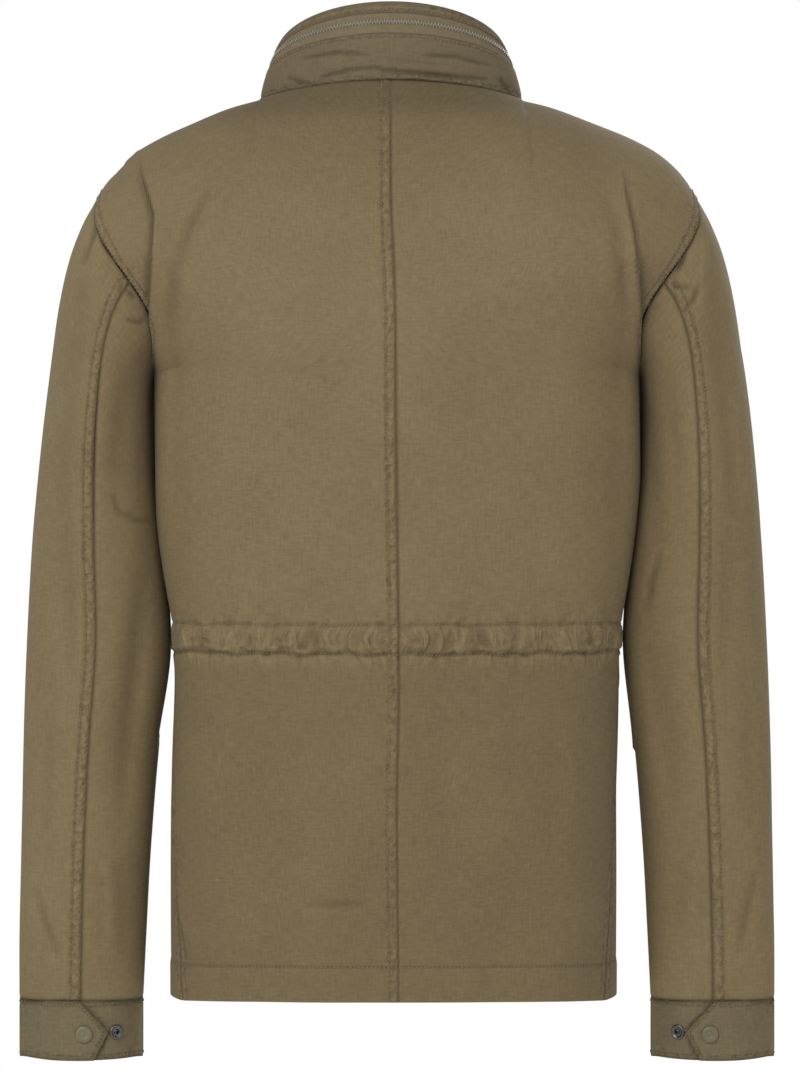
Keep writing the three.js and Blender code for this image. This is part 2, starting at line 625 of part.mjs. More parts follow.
// The two tapes of the front zip, behind the front edges from the hem to the collar top.
function addFrontTapes() {
  const rows = panelRows(FRONT);
  const { inner, outer, columns } = FRONT_TAPE;
  const across = evenSteps(inner, outer, columns);
  const levels = [0.3, 0.6, 0.85, 0.97];
  const inside = (p) => new THREE.Vector3(0, 0, p.z);
  for (const [sideName, side] of SIDES) {
    const body = rows.map((row) => across.map((x) => place(row(shareAt(row, x)), side)));
    const neck = levels.map((level) => across.map((x) => (
      placeCollar(collar(180 - radToDeg(Math.asin(x / NECK.half)), level), side))));
    const behind = (r) => (r < body.length - 1
      ? channelPuff(body[r][0].z) - SEAM_GAP - CLOTH
      : -FRONT_TAPE.collarGap - DOUBLE_CLOTH);
    addSheet(`front_zip_tape_${sideName}`, 'tape', [...body, ...neck], inside, TAPE, { relief: behind });
  }
}

// Joins closed geometries into one.
function union(geometries) {
  const solids = geometries.map((source) => {
    const bare = source.clone();
    bare.deleteAttribute('normal');
    bare.deleteAttribute('uv');
    const merged = mergeVertices(bare, 1e-4);
    return new wasm.Manifold(new wasm.Mesh({
      numProp: 3,
      vertProperties: new Float32Array(merged.attributes.position.array),
      triVerts: new Uint32Array(merged.index.array),
    }));
  });
  return geometryOf(solids.reduce((sum, solid) => sum.add(solid)));
}

function geometryOf(solid) {
  const { vertProperties, triVerts } = solid.getMesh();
  const geometry = new THREE.BufferGeometry();
  geometry.setAttribute('position', new THREE.BufferAttribute(vertProperties, 3));
  geometry.setIndex(new THREE.BufferAttribute(triVerts, 1));
  geometry.computeVertexNormals();
  return geometry;
}

function box(width, depth, height, x, y, z) {
  return new THREE.BoxGeometry(width, depth, height).translate(x, y, z);
}

// A zip slider in its own frame: the seat is the plane y = 0, the lug stands towards -Y and
// the hole for the pull's pin runs along X at the height z = 0.
function sliderGeometry(width, height) {
  const { thick, lug, lugReach, hole } = SLIDER;
  const body = box(width, thick, height, 0, -thick / 2, 0);
  const profile = new THREE.Shape();
  const reach = thick + lugReach;
  profile.moveTo(thick - 0.5, -3);
  profile.lineTo(reach - 1, -2.4);
  profile.lineTo(reach, 0);
  profile.lineTo(reach - 1, 2.4);
  profile.lineTo(thick - 0.5, 3);
  const eye = new THREE.Path();
  eye.absarc(thick + lugReach / 2, 0, hole, 0, 2 * Math.PI);
  profile.holes.push(eye);
  const ear = new THREE.ExtrudeGeometry(profile, { depth: lug, bevelEnabled: false, curveSegments: 5 });
  ear.rotateZ(-Math.PI / 2).rotateY(-Math.PI / 2);
  ear.computeBoundingBox();
  const size = ear.boundingBox.getCenter(new THREE.Vector3());
  ear.translate(-size.x, -size.y - thick - lugReach / 2 + 0.25, -size.z);
  return union([body, ear]);
}

// The pull hangs from its pin: a plate below and two arms beside the slider's lug.
function pullGeometry() {
  const { width, length, thick, arm, pin, side } = PULL;
  const armX = SLIDER.lug / 2 + side + arm / 2;
  const armLength = 5.4;
  const outline = new THREE.Shape();
  outline.moveTo(-width / 2, -armLength);
  outline.lineTo(-width / 2, -length + PULL.round);
  outline.quadraticCurveTo(-width / 2, -length, 0, -length);
  outline.quadraticCurveTo(width / 2, -length, width / 2, -length + PULL.round);
  outline.lineTo(width / 2, -armLength);
  const plate = new THREE.ExtrudeGeometry(outline, { depth: thick, bevelEnabled: false, curveSegments: 4 });
  plate.translate(0, 0, -thick / 2).rotateX(Math.PI / 2);
  const rod = new THREE.CylinderGeometry(pin, pin, 2 * armX + arm, 10).rotateZ(Math.PI / 2);
  const arms = [-armX, armX].map((x) => box(arm, thick, armLength + 1.4, x, 0, 0.5 - armLength / 2));
  return union([plate, rod, ...arms]);
}

// One slider, lying on the collar's wall at a place given by angle and level and sunk into it
// by a depth, with its pull, which hangs straight down from the slider's lug.
function addSlider(name, angle, level, depth, width, height) {
  const seat = placeCollar(collar(angle, level), 1);
  const along = collar(angle - 1, level).sub(collar(angle + 1, level)).setZ(0).normalize();
  const up = placeCollar(collar(angle, level + 0.05), 1).sub(seat).normalize();
  const outward = along.clone().cross(up).normalize();
  const slider = addMesh(`${name}_slider`, sliderGeometry(width, height), 'metal');
  const inward = outward.clone().negate();
  const basis = new THREE.Matrix4().makeBasis(along, inward, along.clone().cross(inward));
  slider.quaternion.setFromRotationMatrix(basis);
  slider.position.copy(seat).addScaledVector(outward, SEAM_GAP - depth);
  const pull = addMesh(`${name}_pull`, pullGeometry(), 'metal');
  pull.position.copy(slider.position).addScaledVector(outward, SLIDER.thick + SLIDER.lugReach / 2);
  pull.rotation.z = Math.atan2(along.y, along.x);
}

function addSliders() {
  const { width, length } = SLIDER;
  const behind = DOUBLE_CLOTH + FRONT_TAPE.collarGap;
  addSlider('front_zip', 180, FRONT_SLIDER_LEVEL, behind, width, length);
  addSlider('collar_zip', COLLAR_SLIDER_ANGLE, COLLAR_SLIDER_LEVEL, TAPE_RECESS, length, width);
}

addBody();
addSleeves();
addCuffs();
addCollar();
addFrontTapes();
addWalls();
addSliders();

export default jacket;
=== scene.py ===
"""The look of a hip-length cotton jacket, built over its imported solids.

The wearer faces -Y, +Z is up and the wearer's left is +X. Tables and functions that shape
cloth work in millimetres, and the meshes are in metres.
"""

import math

import bmesh
import bpy
import numpy as np
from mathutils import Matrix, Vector


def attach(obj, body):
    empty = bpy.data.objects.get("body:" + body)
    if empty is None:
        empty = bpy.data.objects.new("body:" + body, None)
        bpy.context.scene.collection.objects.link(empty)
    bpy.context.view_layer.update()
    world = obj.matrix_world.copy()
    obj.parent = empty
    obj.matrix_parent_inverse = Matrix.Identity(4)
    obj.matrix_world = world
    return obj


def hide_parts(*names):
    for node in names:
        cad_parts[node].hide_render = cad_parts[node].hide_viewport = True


bl_info = {
    "name": "Hip-length cotton jacket",
    "version": (1, 0, 0),
    "blender": (4, 5, 0),
    "location": "3D View > Sidebar > Jacket",
    "description": "Cloth, stitching, zips and snaps of a hip-length cotton jacket",
    "category": "Add Mesh",
}

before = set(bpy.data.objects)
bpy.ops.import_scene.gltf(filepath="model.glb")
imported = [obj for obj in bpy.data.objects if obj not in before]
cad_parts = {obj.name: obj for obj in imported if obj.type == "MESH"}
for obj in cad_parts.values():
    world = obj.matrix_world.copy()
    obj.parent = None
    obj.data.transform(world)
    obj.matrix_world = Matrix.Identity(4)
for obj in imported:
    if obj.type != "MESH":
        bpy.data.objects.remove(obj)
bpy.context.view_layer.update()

MM = 0.001
SIDES = (("left", 1), ("right", -1))

# Cloth walls and seams
CLOTH = 1.5
DOUBLE_CLOTH = 2.2
TAPE = 1.0
TAPE_RECESS = 0.6
SEAM_GAP = 0.3
SEAM_INSET = 0.006

# Torso sections, and the side seam's angle from the centre back
SECTIONS = {
    "z": (-697, -600, -510, -420, -340, -275, -216, -175, -130),
    "half": (173, 173.5, 173, 173, 178.5, 183, 185, 185, 185),
    "back": (118, 113, 108, 104, 111, 120, 126, 127, 123),
    "front": (120, 117, 113, 110, 117, 125, 128, 127, 120),
    "seam": (66, 74, 82, 87, 90, 90, 90, 90, 90),
}
SQUARENESS = 2.4
ARM_TOP, ARM_BOTTOM, ARM_INNER, ARM_OUTER, ARM_DEPTH = -79, -216, 185, 232.5, 74
ARM_BEND = (-190, -93)
RING_ANGLES = (158, 138, 120, 106, 92, 78)
YOKE_ANGLES = (64, 50, 36, 24, 12, 0)
SLEEVE_BACK_SEAM, SLEEVE_FRONT_SEAM = 92, 222
NECK = {"half": 102, "back": 64, "front": 82, "back_z": 5, "side_z": -3, "front_z": -72}
NECK_SHIFT = 4.5
SKIRT_SHIFT = 2.6
COLLAR_TOP = {"half": 90, "back": 59, "front": 72, "side_z": 32, "slope": 0.57}
COLLAR_LEAN = 1.6
SHOULDER = {
    "x": (102, 127, 155, 181, 201, 214.5, 224, 232.5),
    "z": (-3, -10, -21, -32, -43, -54, -65, -79),
}
HEM_EDGE, HEM_FOLD, HEM_RISE = -697, -671.5, 0.7
CHANNEL_LOW, CHANNEL_MID, CHANNEL_HIGH, CHANNEL_PUFF = -431, -420, -409, 2.0
CENTRE_SEAM = {"z": (-697, -420, -216, -130), "x": (-4, -1.5, 1, 0)}
FRONT_EDGE = 5.5

# Heights of a body panel's rows, and how many steps lie between one and the next
LOWER_ROWS = (-697, -671.5, -668.5, -600, -530, -465, -436, -431, -420, -409, -404, -350, -290,
              -245, -216)
LOWER_STEPS = (9, 3, 14, 14, 14, 12, 4, 9, 9, 4, 15, 13, 10, 7)
RING_STEPS, YOKE_STEPS = 4, 9
BACK = {"name": "back", "turn": 0, "yoke": -133, "lift": 7, "neck_share": 0.4, "neck": 9,
        "shoulder": 13}
FRONT = {"name": "front", "turn": 180, "yoke": -146, "lift": 0, "neck_share": 0.42, "neck": 7,
         "shoulder": 13}
LIFT_TOP = -560

# Long soft folds of the body: panel, side, x, top, bottom, width, depth, lean
BODY_FOLDS = (
    ("back", 1, 179, -60, -480, 8, 6.5, 0.01),
    ("back", -1, 179, -60, -480, 8, 6.5, 0.01),
    ("back", 1, 168, -100, -330, 13, -4.0, -0.06),
    ("back", 1, 110, -440, -740, 20, -2.6, 0.03),
    ("back", 1, 52, -470, -730, 18, 2.2, -0.02),
    ("back", -1, 172, -90, -300, 12, -3.4, -0.05),
    ("back", -1, 84, -440, -740, 20, -2.4, 0.04),
    ("back", -1, 128, -480, -740, 16, 2.0, 0),
    ("front", 1, 165, -110, -320, 14, -3.6, -0.05),
    ("front", 1, 95, -440, -740, 20, -2.4, 0.03),
    ("front", -1, 168, -110, -310, 13, -3.6, -0.05),
    ("front", -1, 118, -450, -740, 18, -2.2, -0.02),
)

# Sleeve sections from the armhole to the cuff
SLEEVE = {
    "row": tuple(range(12)),
    "outer_x": (232.5, 243.5, 254, 262.5, 270, 277.5, 284, 288.5, 291.5, 293.5, 294.5, 294.5),
    "outer_z": (-79, -99, -126, -162, -213, -275, -345, -425, -505, -585, -650, -702),
    "inner_x": (185, 188, 189, 188.8, 188.2, 186.2, 181.4, 176.4, 185.5, 192, 195.5, 198),
    "inner_z": (-216, -223, -232, -244, -266, -300, -355, -428, -505, -585, -650, -702),
    "back": (74, 77, 78, 76, 72, 66, 59, 51, 43, 35, 29, 24),
    "front": (-74, -79, -83, -85, -85, -83, -81, -79, -76, -71, -63, -56),
    "armhole": (1, 0.8, 0.5, 0.22, 0.05, 0, 0, 0, 0, 0, 0, 0),
}
SLEEVE_STEPS = (8, 10, 14, 19, 22, 25, 28, 28, 28, 23, 22)
# Sleeve folds: angle, row, spread, length, depth, lean
SLEEVE_FOLDS = (
    (60, 2.2, 16, 1.4, -2.6, 7),
    (118, 4.0, 14, 1.6, -2.4, -6),
    (70, 6.4, 15, 1.2, -2.6, 9),
    (128, 7.2, 16, 1.0, -2.8, -8),
    (300, 6.8, 18, 1.2, -3.0, 8),
    (245, 6.2, 16, 1.1, -2.8, -8),
    (20, 9.2, 16, 0.9, -1.8, 6),
)
CUFF_TOP, CUFF_BOTTOM, CUFF_TIP, CUFF_START, LAP_FROM, LAP_TO = -702, -748, 0.47, 84, 402, 436
CUFF_END = {"bottom": 464, "tip": 477, "top": 451}
SNAP_CAP = {"angle": 455, "level": 0.45}
SNAP_STUD = {"angle": 126, "level": 0.46}
CUFF_ROWS, CUFF_COLUMNS = 25, 150
FRONT_TAPE = {"inner": 0.5, "outer": 14, "columns": 7, "collar_gap": 0.8, "collar_rows": 26,
              "collar_from": 0.3, "collar_to": 0.97}
# Bands of the collar from the neck up: name, low and high level, rows, wall, recess
COLLAR_BANDS = (
    ("collar_stand", 0, 0.6, 22, DOUBLE_CLOTH, 0),
    ("collar_zip_tape", 0.6, 0.85, 9, TAPE, TAPE_RECESS),
    ("collar_top", 0.85, 1, 9, DOUBLE_CLOTH, 0),
)

# How far rows of stitches run from their seam, how high the thread lies, and the bar tack
STITCH_AWAY = {"edge": 1.9, "lap": 7.5, "centre": 7.2, "zip": 6.0, "sleeve": 8.0, "cuff": 3.0,
               "collar": 2.6, "hem": 1.2}
STITCH_LIFT = 0.26
BAR_TACK = {"z": -651, "start": 0.6, "stop": 8.4, "step": 0.6, "lift": 0.3}
# Zip teeth: from the zip's middle, above the tape, and where the collar's teeth stop in front
TOOTH_OFFSET, TOOTH_LIFT, COLLAR_TEETH_FRONT = 0.62, 0.45, -68

# The camera stands behind the jacket. Creases are placed where it sees them, in steps of
# VIEW_STEP at the depth of the origin, across and down from the top left corner.
CAMERA = (-2.4, 2600.0, -341.6)
VIEW_STEP = 0.78
VIEW_CENTRE = (400, 535)
LENS = 112.1

# Bevel on the edges of the zips' sliders and pulls
METAL_BEVEL = 0.00028

# The floor, in metres, and the lights: name, place, size and the power that each follows
FLOOR_RADIUS, FLOOR_SIDES = 3.4, 64
LIGHTS = (
    ("key", (1.6, 2.6, 1.5), 2.6, "key"),
    ("fill", (-2.4, 2.2, 0.2), 2.4, "fill"),
    ("front_key", (-1.4, -2.8, 1.4), 2.6, "key"),
)
LIGHTS_AIM = (0, 0, -0.35)

# How much the creases and the waist's puckers stand out, and how much painted shade darkens their hollows
CREASING, PUCKERS, HOLLOW_SHADE = 1.8, 2.2, 0.55

# Creases seen from behind: kind, height, width, points. A ridge is higher than 0 and a trough
# lower. A fold stands up sharply on the left of its path, going down, and slopes off right.
BACK_CREASES = (
    ("fold", 3.0, 16, ((139, 150), (144, 179), (150, 198), (156, 217), (155, 245), (153, 300),
                       (151, 360), (156, 440), (163, 540), (169, 612))),
    ("ridge", 1.0, 4, ((137, 150), (139, 163), (144, 182))),
    ("fold", 2.2, 15, ((626, 612), (630, 520), (634, 430), (637, 359), (639, 318), (637, 275),
                       (632, 232), (626, 200), (621, 160))),
    ("ridge", -1.6, 9, ((212, 178), (203, 198), (189, 226), (178, 268))),
    ("ridge", 0.9, 10, ((228, 170), (216, 205), (200, 250))),
    ("ridge", -1.2, 8, ((123, 160), (119, 176), (114, 190))),
    ("ridge", -1.0, 9, ((604, 178), (612, 214), (622, 262), (628, 312))),
    ("ridge", -0.9, 8, ((660, 168), (668, 190), (664, 214))),
    ("ridge", -0.8, 16, ((236, 640), (232, 760), (246, 900), (250, 980))),
    ("ridge", 0.8, 15, ((286, 660), (282, 780), (292, 960))),
    ("ridge", -0.7, 13, ((345, 660), (347, 740), (340, 860))),
    ("ridge", -0.8, 14, ((442, 660), (446, 760), (452, 930))),
    ("ridge", 0.7, 14, ((498, 660), (502, 790), (496, 960))),
    ("ridge", -0.8, 15, ((560, 660), (556, 800), (566, 960))),
    ("ridge", -0.7, 26, ((252, 330), (262, 430), (258, 560))),
    ("ridge", 0.6, 30, ((330, 300), (336, 450), (340, 590))),
    ("ridge", -0.6, 28, ((474, 300), (470, 430), (480, 590))),
    ("ridge", 0.7, 26, ((560, 300), (566, 430), (560, 590))),
    ("ridge", -0.9, 7, ((300, 84), (336, 104), (392, 110))),
    ("ridge", -0.8, 7, ((470, 108), (508, 102), (538, 112))),
    ("fold", 1.6, 10, ((176, 872), (181, 912), (185, 948), (187, 962))),
    ("ridge", -1.0, 3.2, ((181, 921), (186, 946), (187, 968))),
    ("ridge", -0.9, 4, ((300, 905), (330, 903), (372, 905))),
    ("ridge", -0.5, 2.6, ((348, 974), (351, 1002))),
    ("ridge", -0.5, 2.6, ((359, 974), (361, 1002))),
    ("ridge", -0.5, 2.6, ((369, 972), (370, 1002))),
    ("ridge", -0.5, 2.6, ((431, 974), (430, 1002))),
    ("ridge", -0.5, 2.6, ((446, 974), (444, 1002))),
    ("ridge", -0.5, 2.6, ((458, 974), (457, 1002))),
)
FRONT_CREASES = (
    ("ridge", -1.8, 9, ((212, 190), (203, 215), (189, 246), (178, 288))),
    ("ridge", -1.6, 9, ((588, 190), (597, 215), (611, 246), (622, 288))),
    ("ridge", -1.0, 22, ((300, 240), (270, 380), (262, 560))),
    ("ridge", 0.9, 24, ((350, 260), (338, 430), (330, 590))),
    ("ridge", -0.9, 22, ((500, 250), (528, 390), (540, 560))),
    ("ridge", 0.8, 22, ((452, 270), (460, 430), (470, 590))),
    ("ridge", -1.0, 15, ((250, 660), (246, 780), (256, 960))),
    ("ridge", 0.8, 14, ((310, 660), (304, 790), (312, 960))),
    ("ridge", -0.9, 14, ((480, 660), (486, 790), (478, 960))),
    ("ridge", -1.0, 15, ((560, 660), (566, 800), (560, 960))),
)
SLEEVE_BACK_CREASES = (
    ("ridge", -1.8, 5, ((99, 206), (92, 232), (80, 266))),
    ("ridge", 0.9, 6, ((108, 226), (102, 252), (92, 284))),
    ("ridge", -1.1, 3, ((122, 288), (131, 293), (137, 300))),
    ("ridge", -1.0, 3, ((126, 318), (138, 323), (148, 318))),
    ("ridge", -0.9, 3.5, ((112, 492), (120, 512), (136, 520), (156, 522))),
    ("ridge", -1.3, 14, ((72, 330), (64, 420), (52, 520))),
    ("ridge", 1.0, 14, ((96, 360), (86, 470), (74, 590))),
    ("ridge", -1.3, 12, ((142, 560), (132, 690), (120, 840))),
    ("ridge", -1.1, 12, ((52, 660), (46, 780), (44, 900))),
    ("ridge", -1.2, 6, ((34, 884), (44, 922), (60, 960))),
    ("ridge", 0.9, 7, ((106, 850), (112, 905), (110, 960))),
    ("ridge", -1.4, 4, ((686, 246), (682, 262), (672, 274))),
    ("ridge", -1.4, 4, ((700, 282), (694, 300), (682, 314))),
    ("ridge", -1.2, 3.5, ((664, 292), (676, 286), (692, 288))),
    ("ridge", 0.9, 5, ((704, 236), (706, 262), (700, 290))),
    ("ridge", -1.4, 12, ((722, 340), (728, 420), (736, 520))),
    ("ridge", 1.1, 10, ((738, 350), (744, 430), (752, 530))),
    ("ridge", -1.3, 11, ((650, 390), (654, 470), (660, 560))),
    ("ridge", 1.0, 12, ((676, 520), (682, 640), (690, 760))),
    ("ridge", -1.2, 12, ((742, 600), (748, 720), (752, 830))),
    ("ridge", -1.1, 5, ((660, 552), (650, 584), (646, 612))),
    ("ridge", -1.3, 7, ((758, 868), (748, 912), (738, 958))),
    ("ridge", 0.9, 7, ((700, 850), (690, 905), (694, 960))),
)
SLEEVE_FRONT_CREASES = (
    ("ridge", -1.8, 5, ((99, 216), (94, 246), (88, 280))),
    ("ridge", -1.4, 5, ((140, 318), (126, 330), (110, 352))),
    ("ridge", -1.8, 8, ((150, 440), (118, 462), (84, 468))),
    ("ridge", 1.3, 7, ((148, 470), (116, 494), (80, 500))),
    ("ridge", -1.6, 8, ((146, 512), (112, 530), (74, 524))),
    ("ridge", -1.2, 12, ((66, 640), (60, 760), (58, 880))),
    ("ridge", -1.8, 5, ((701, 216), (706, 246), (712, 280))),
    ("ridge", -1.4, 5, ((660, 318), (674, 330), (690, 352))),
    ("ridge", -1.8, 8, ((650, 452), (684, 470), (718, 470))),
    ("ridge", 1.2, 7, ((652, 480), (684, 500), (720, 498))),
    ("ridge", -1.5, 8, ((654, 520), (690, 536), (728, 528))),
    ("ridge", -1.2, 12, ((734, 640), (740, 760), (742, 880))),
)
COLLAR_CREASES = (
    ("ridge", -1.1, 2.6, ((352, 69), (374, 67), (400, 71), (446, 76), (489, 79))),
    ("ridge", -0.7, 2.6, ((316, 78), (340, 72), (364, 65))),
    ("ridge", 0.8, 3, ((340, 77), (400, 77), (450, 81), (484, 84))),
    ("ridge", 0.5, 4, ((330, 66), (400, 68), (470, 72))),
    ("ridge", -0.6, 3.5, ((286, 76), (310, 86), (340, 84))),
    ("ridge", -0.6, 3.5, ((498, 76), (508, 88), (512, 96))),
    ("ridge", -0.4, 3, ((300, 58), (340, 52), (372, 54))),
    ("ridge", -0.4, 3, ((420, 54), (455, 56), (492, 66))),
)


def lerp(a, b, t):
    """The value a share t of the way from a to b."""
    return a + (b - a) * t


def smoothstep(value, low, high):
    """0 below low, 1 above high, and a smooth rise between."""
    t = np.clip((value - low) / (high - low), 0, 1)
    return t * t * (3 - 2 * t)


def signed_power(value, power):
    """A power that keeps the sign of its base."""
    return np.sign(value) * np.abs(value) ** power


def stack(x, y, z):
    """Points from their three coordinates."""
    return np.stack(np.broadcast_arrays(x, y, z), -1).astype(float)


def length(vectors):
    """The length of each vector."""
    return np.linalg.norm(vectors, axis=-1)


def unit(vectors):
    """Each vector brought to a length of one."""
    return vectors / np.maximum(length(vectors), 1e-9)[..., None]


def along_line(at, reach, line):
    """The points of a line at lengths along it, where reach is the length up to each point."""
    return np.stack([np.interp(at, reach, line[:, i]) for i in range(3)], -1)


def column(table, along, name, at):
    """The smooth value of a table's column at a place along another, rising, column."""
    keys = np.asarray(table[along], float)
    values = np.asarray(table[name], float)
    slopes = np.empty_like(values)
    slopes[1:-1] = (values[2:] - values[:-2]) / (keys[2:] - keys[:-2])
    slopes[0] = (values[1] - values[0]) / (keys[1] - keys[0])
    slopes[-1] = (values[-1] - values[-2]) / (keys[-1] - keys[-2])
    at = np.asarray(at, float)
    i = np.clip(np.searchsorted(keys, at, side="right") - 1, 0, len(keys) - 2)
    span = keys[i + 1] - keys[i]
    t = np.clip((at - keys[i]) / span, 0, 1)
    start = values[i] * (1 + 2 * t) * (1 - t) ** 2 + slopes[i] * span * t * (1 - t) ** 2
    return start + values[i + 1] * t * t * (3 - 2 * t) + slopes[i + 1] * span * t * t * (t - 1)


def steps_between(marks, counts):
    """Even steps from each mark to the next, with the given count in each."""
    spans = [np.linspace(a, b, n, endpoint=False) for a, b, n in zip(marks, marks[1:], counts)]
    return np.concatenate([*spans, [marks[-1]]])


def armhole(angle):
    """The armhole seam: 0 degrees at the shoulder point, 90 at the back, 180 underarm."""
    a = np.radians(angle)
    z = lerp(ARM_BOTTOM, ARM_TOP, (1 + np.cos(a)) / 2)
    x = lerp(ARM_INNER, ARM_OUTER, smoothstep(z, *ARM_BEND))
    return stack(x, ARM_DEPTH * np.sin(a), z)


def ring_angle(z):
    """The armhole's angle, over the back, at a height."""
    share = 2 * (z - ARM_BOTTOM) / (ARM_TOP - ARM_BOTTOM) - 1
    return np.degrees(np.arccos(np.clip(share, -1, 1)))


def torso_half(z, depth):
    """Half the torso's width, which above the underarm meets the armhole."""
    edge = armhole(ring_angle(z))
    reach = edge[..., 0] / (1 - (edge[..., 1] / depth) ** SQUARENESS) ** (1 / SQUARENESS)
    return np.where(z <= ARM_BOTTOM, column(SECTIONS, "z", "half", z), reach)


def torso(angle, z):
    """A point of the torso: 0 degrees is the centre back and 180 the centre front."""
    a = np.radians(angle)
    back, front = (column(SECTIONS, "z", name, z) for name in ("back", "front"))
    depth = np.where(np.cos(a) > 0, back, front)
    x = torso_half(z, depth) * signed_power(np.sin(a), 2 / SQUARENESS)
    return stack(x, depth * signed_power(np.cos(a), 2 / SQUARENESS), z)


def edge_angle(panel, z):
    """The torso's angle where a panel ends, at its side seam or at the armhole."""
    depth = column(SECTIONS, "z", panel["name"], z)
    edge = armhole(ring_angle(z))
    sine = (edge[..., 0] / torso_half(z, depth)) ** (SQUARENESS / 2)
    turned = np.degrees(np.arcsin(np.clip(sine, 0, 1)))
    turned = turned if panel is BACK else 180 - turned
    return np.where(z <= ARM_BOTTOM, column(SECTIONS, "z", "seam", z), turned)


def neck_seam(angle):
    """A point of the seam where the collar is sewn on."""
    a = np.radians(angle)
    cosine = np.cos(a)
    behind = cosine > 0
    back_z = lerp(NECK["side_z"], NECK["back_z"], cosine ** 2)
    front_z = lerp(NECK["side_z"], NECK["front_z"], np.abs(cosine) ** 1.5)
    y = np.where(behind, NECK["back"], NECK["front"]) * cosine
    return stack(NECK["half"] * np.sin(a), y, np.where(behind, back_z, front_z))


def collar(angle, level):
    """A point of the collar, from the neck seam at level 0 to its top edge at level 1."""
    low = neck_seam(angle)
    a = np.radians(angle)
    y = np.where(np.cos(a) > 0, COLLAR_TOP["back"], COLLAR_TOP["front"]) * np.cos(a)
    top_z = COLLAR_TOP["side_z"] + COLLAR_TOP["slope"] * y
    lean = level ** COLLAR_LEAN
    x = lerp(low[..., 0], COLLAR_TOP["half"] * np.sin(a), lean)
    return stack(x, lerp(low[..., 1], y, lean), lerp(low[..., 2], top_z, level))


def top_row(panel, s):
    """A body panel's top row: the neck seam, then the shoulder seam."""
    share = panel["neck_share"]
    from_centre = 90 * s / share
    neck = neck_seam(from_centre if panel is BACK else 180 - from_centre)
    x = lerp(NECK["half"], ARM_OUTER, (s - share) / (1 - share))
    shoulder = stack(x, 0, column(SHOULDER, "x", "z", x))
    return np.where((s <= share)[..., None], neck, shoulder)


def torso_row(panel, centre_z, edge_z, s):
    """A row of a body panel that may dip or rise towards the side seam."""
    z = lerp(centre_z, edge_z, s * s)
    return torso(lerp(panel["turn"], edge_angle(panel, z), s), z)


def yoke_row(panel, angle, s):
    """A row of the yoke, rounded over the shoulder up to the top row."""
    start = RING_ANGLES[-1]
    rise = 1 - angle / start

    def along(at):
        low = torso_row(panel, panel["yoke"], armhole(start)[2], at)
        high = top_row(panel, at)
        rounding = smoothstep(at, 0, panel["neck_share"])
        back = lerp(1 - rise ** 1.6, np.cos(rise * np.pi / 2), rounding)
        up = lerp(rise, np.sin(rise * np.pi / 2), rounding)
        x = lerp(low[..., 0], high[..., 0], up)
        y = lerp(high[..., 1], low[..., 1], back)
        return stack(x, y, lerp(low[..., 2], high[..., 2], up))

    edge = armhole(angle if panel is BACK else 360 - angle)
    miss = edge - along(np.ones_like(s))
    return along(s) + miss * smoothstep(s, 0.4, 1)[..., None]


def panel_rows(panel):
    """The rows of a body panel from the hem up: each is a function of the share along it."""
    rows = []
    for z in steps_between(LOWER_ROWS, LOWER_STEPS):
        lifted = z + panel["lift"] * smoothstep(-z, -LIFT_TOP, -HEM_EDGE)
        rows.append(lambda s, z=z, lifted=lifted: torso_row(panel, lifted, z, s))
    ring = steps_between((180, *RING_ANGLES), [RING_STEPS] * len(RING_ANGLES))[1:]
    for i, angle in enumerate(ring):
        centre_z = lerp(ARM_BOTTOM, panel["yoke"], (i + 1) / len(ring))
        edge_z = armhole(angle)[2]
        rows.append(lambda s, c=centre_z, e=edge_z: torso_row(panel, c, e, s))
    yoke = steps_between((RING_ANGLES[-1], *YOKE_ANGLES), [YOKE_STEPS] * len(YOKE_ANGLES))[1:]
    rows += [lambda s, angle=angle: yoke_row(panel, angle, s) for angle in yoke]
    return rows


def share_at(row, x):
    """The shares of a row at which it is so far from the centre line."""
    low, high = np.full(len(x), -0.3), np.full(len(x), 0.4)
    for _ in range(20):
        middle = (low + high) / 2
        short = row(middle)[:, 0] < x
        low, high = np.where(short, middle, low), np.where(short, high, middle)
    return (low + high) / 2


def panel_columns(panel):
    """Column numbers along a panel's row, finer beside its two edges."""
    total = panel["neck"] + panel["shoulder"]
    counts = [12] + [6] * (panel["neck"] - 1) + [5] * (panel["shoulder"] - 1) + [9]
    return steps_between(range(total + 1), counts)


def panel_shares(panel, row, side, columns):
    """Shares along a row of a panel's columns, from the centre line's edge to the side."""
    height = row(np.zeros(1))[0, 2]
    centre = side * column(CENTRE_SEAM, "z", "x", height) if panel is BACK else FRONT_EDGE
    start = share_at(row, np.atleast_1d(centre))[0]
    near = lerp(start, panel["neck_share"], columns / panel["neck"])
    far = lerp(panel["neck_share"], 1, (columns - panel["neck"]) / panel["shoulder"])
    return np.where(columns <= panel["neck"], near, far)


def place(points, side):
    """Mirrors points for the wearer's right. The neck and skirt sit a little to the left."""
    x, y, z = np.moveaxis(points, -1, 0)
    shift = NECK_SHIFT * smoothstep(z, -200, -75) * (1 - smoothstep(x, 112, 225))
    shift = shift + SKIRT_SHIFT * smoothstep(-z, 440, 560) * (x < ARM_INNER + 1)
    return stack(side * x + shift, y, z)


def place_collar(points, side):
    """The collar's points, shifted with the neck."""
    return points * (side, 1, 1) + (NECK_SHIFT, 0, 0)


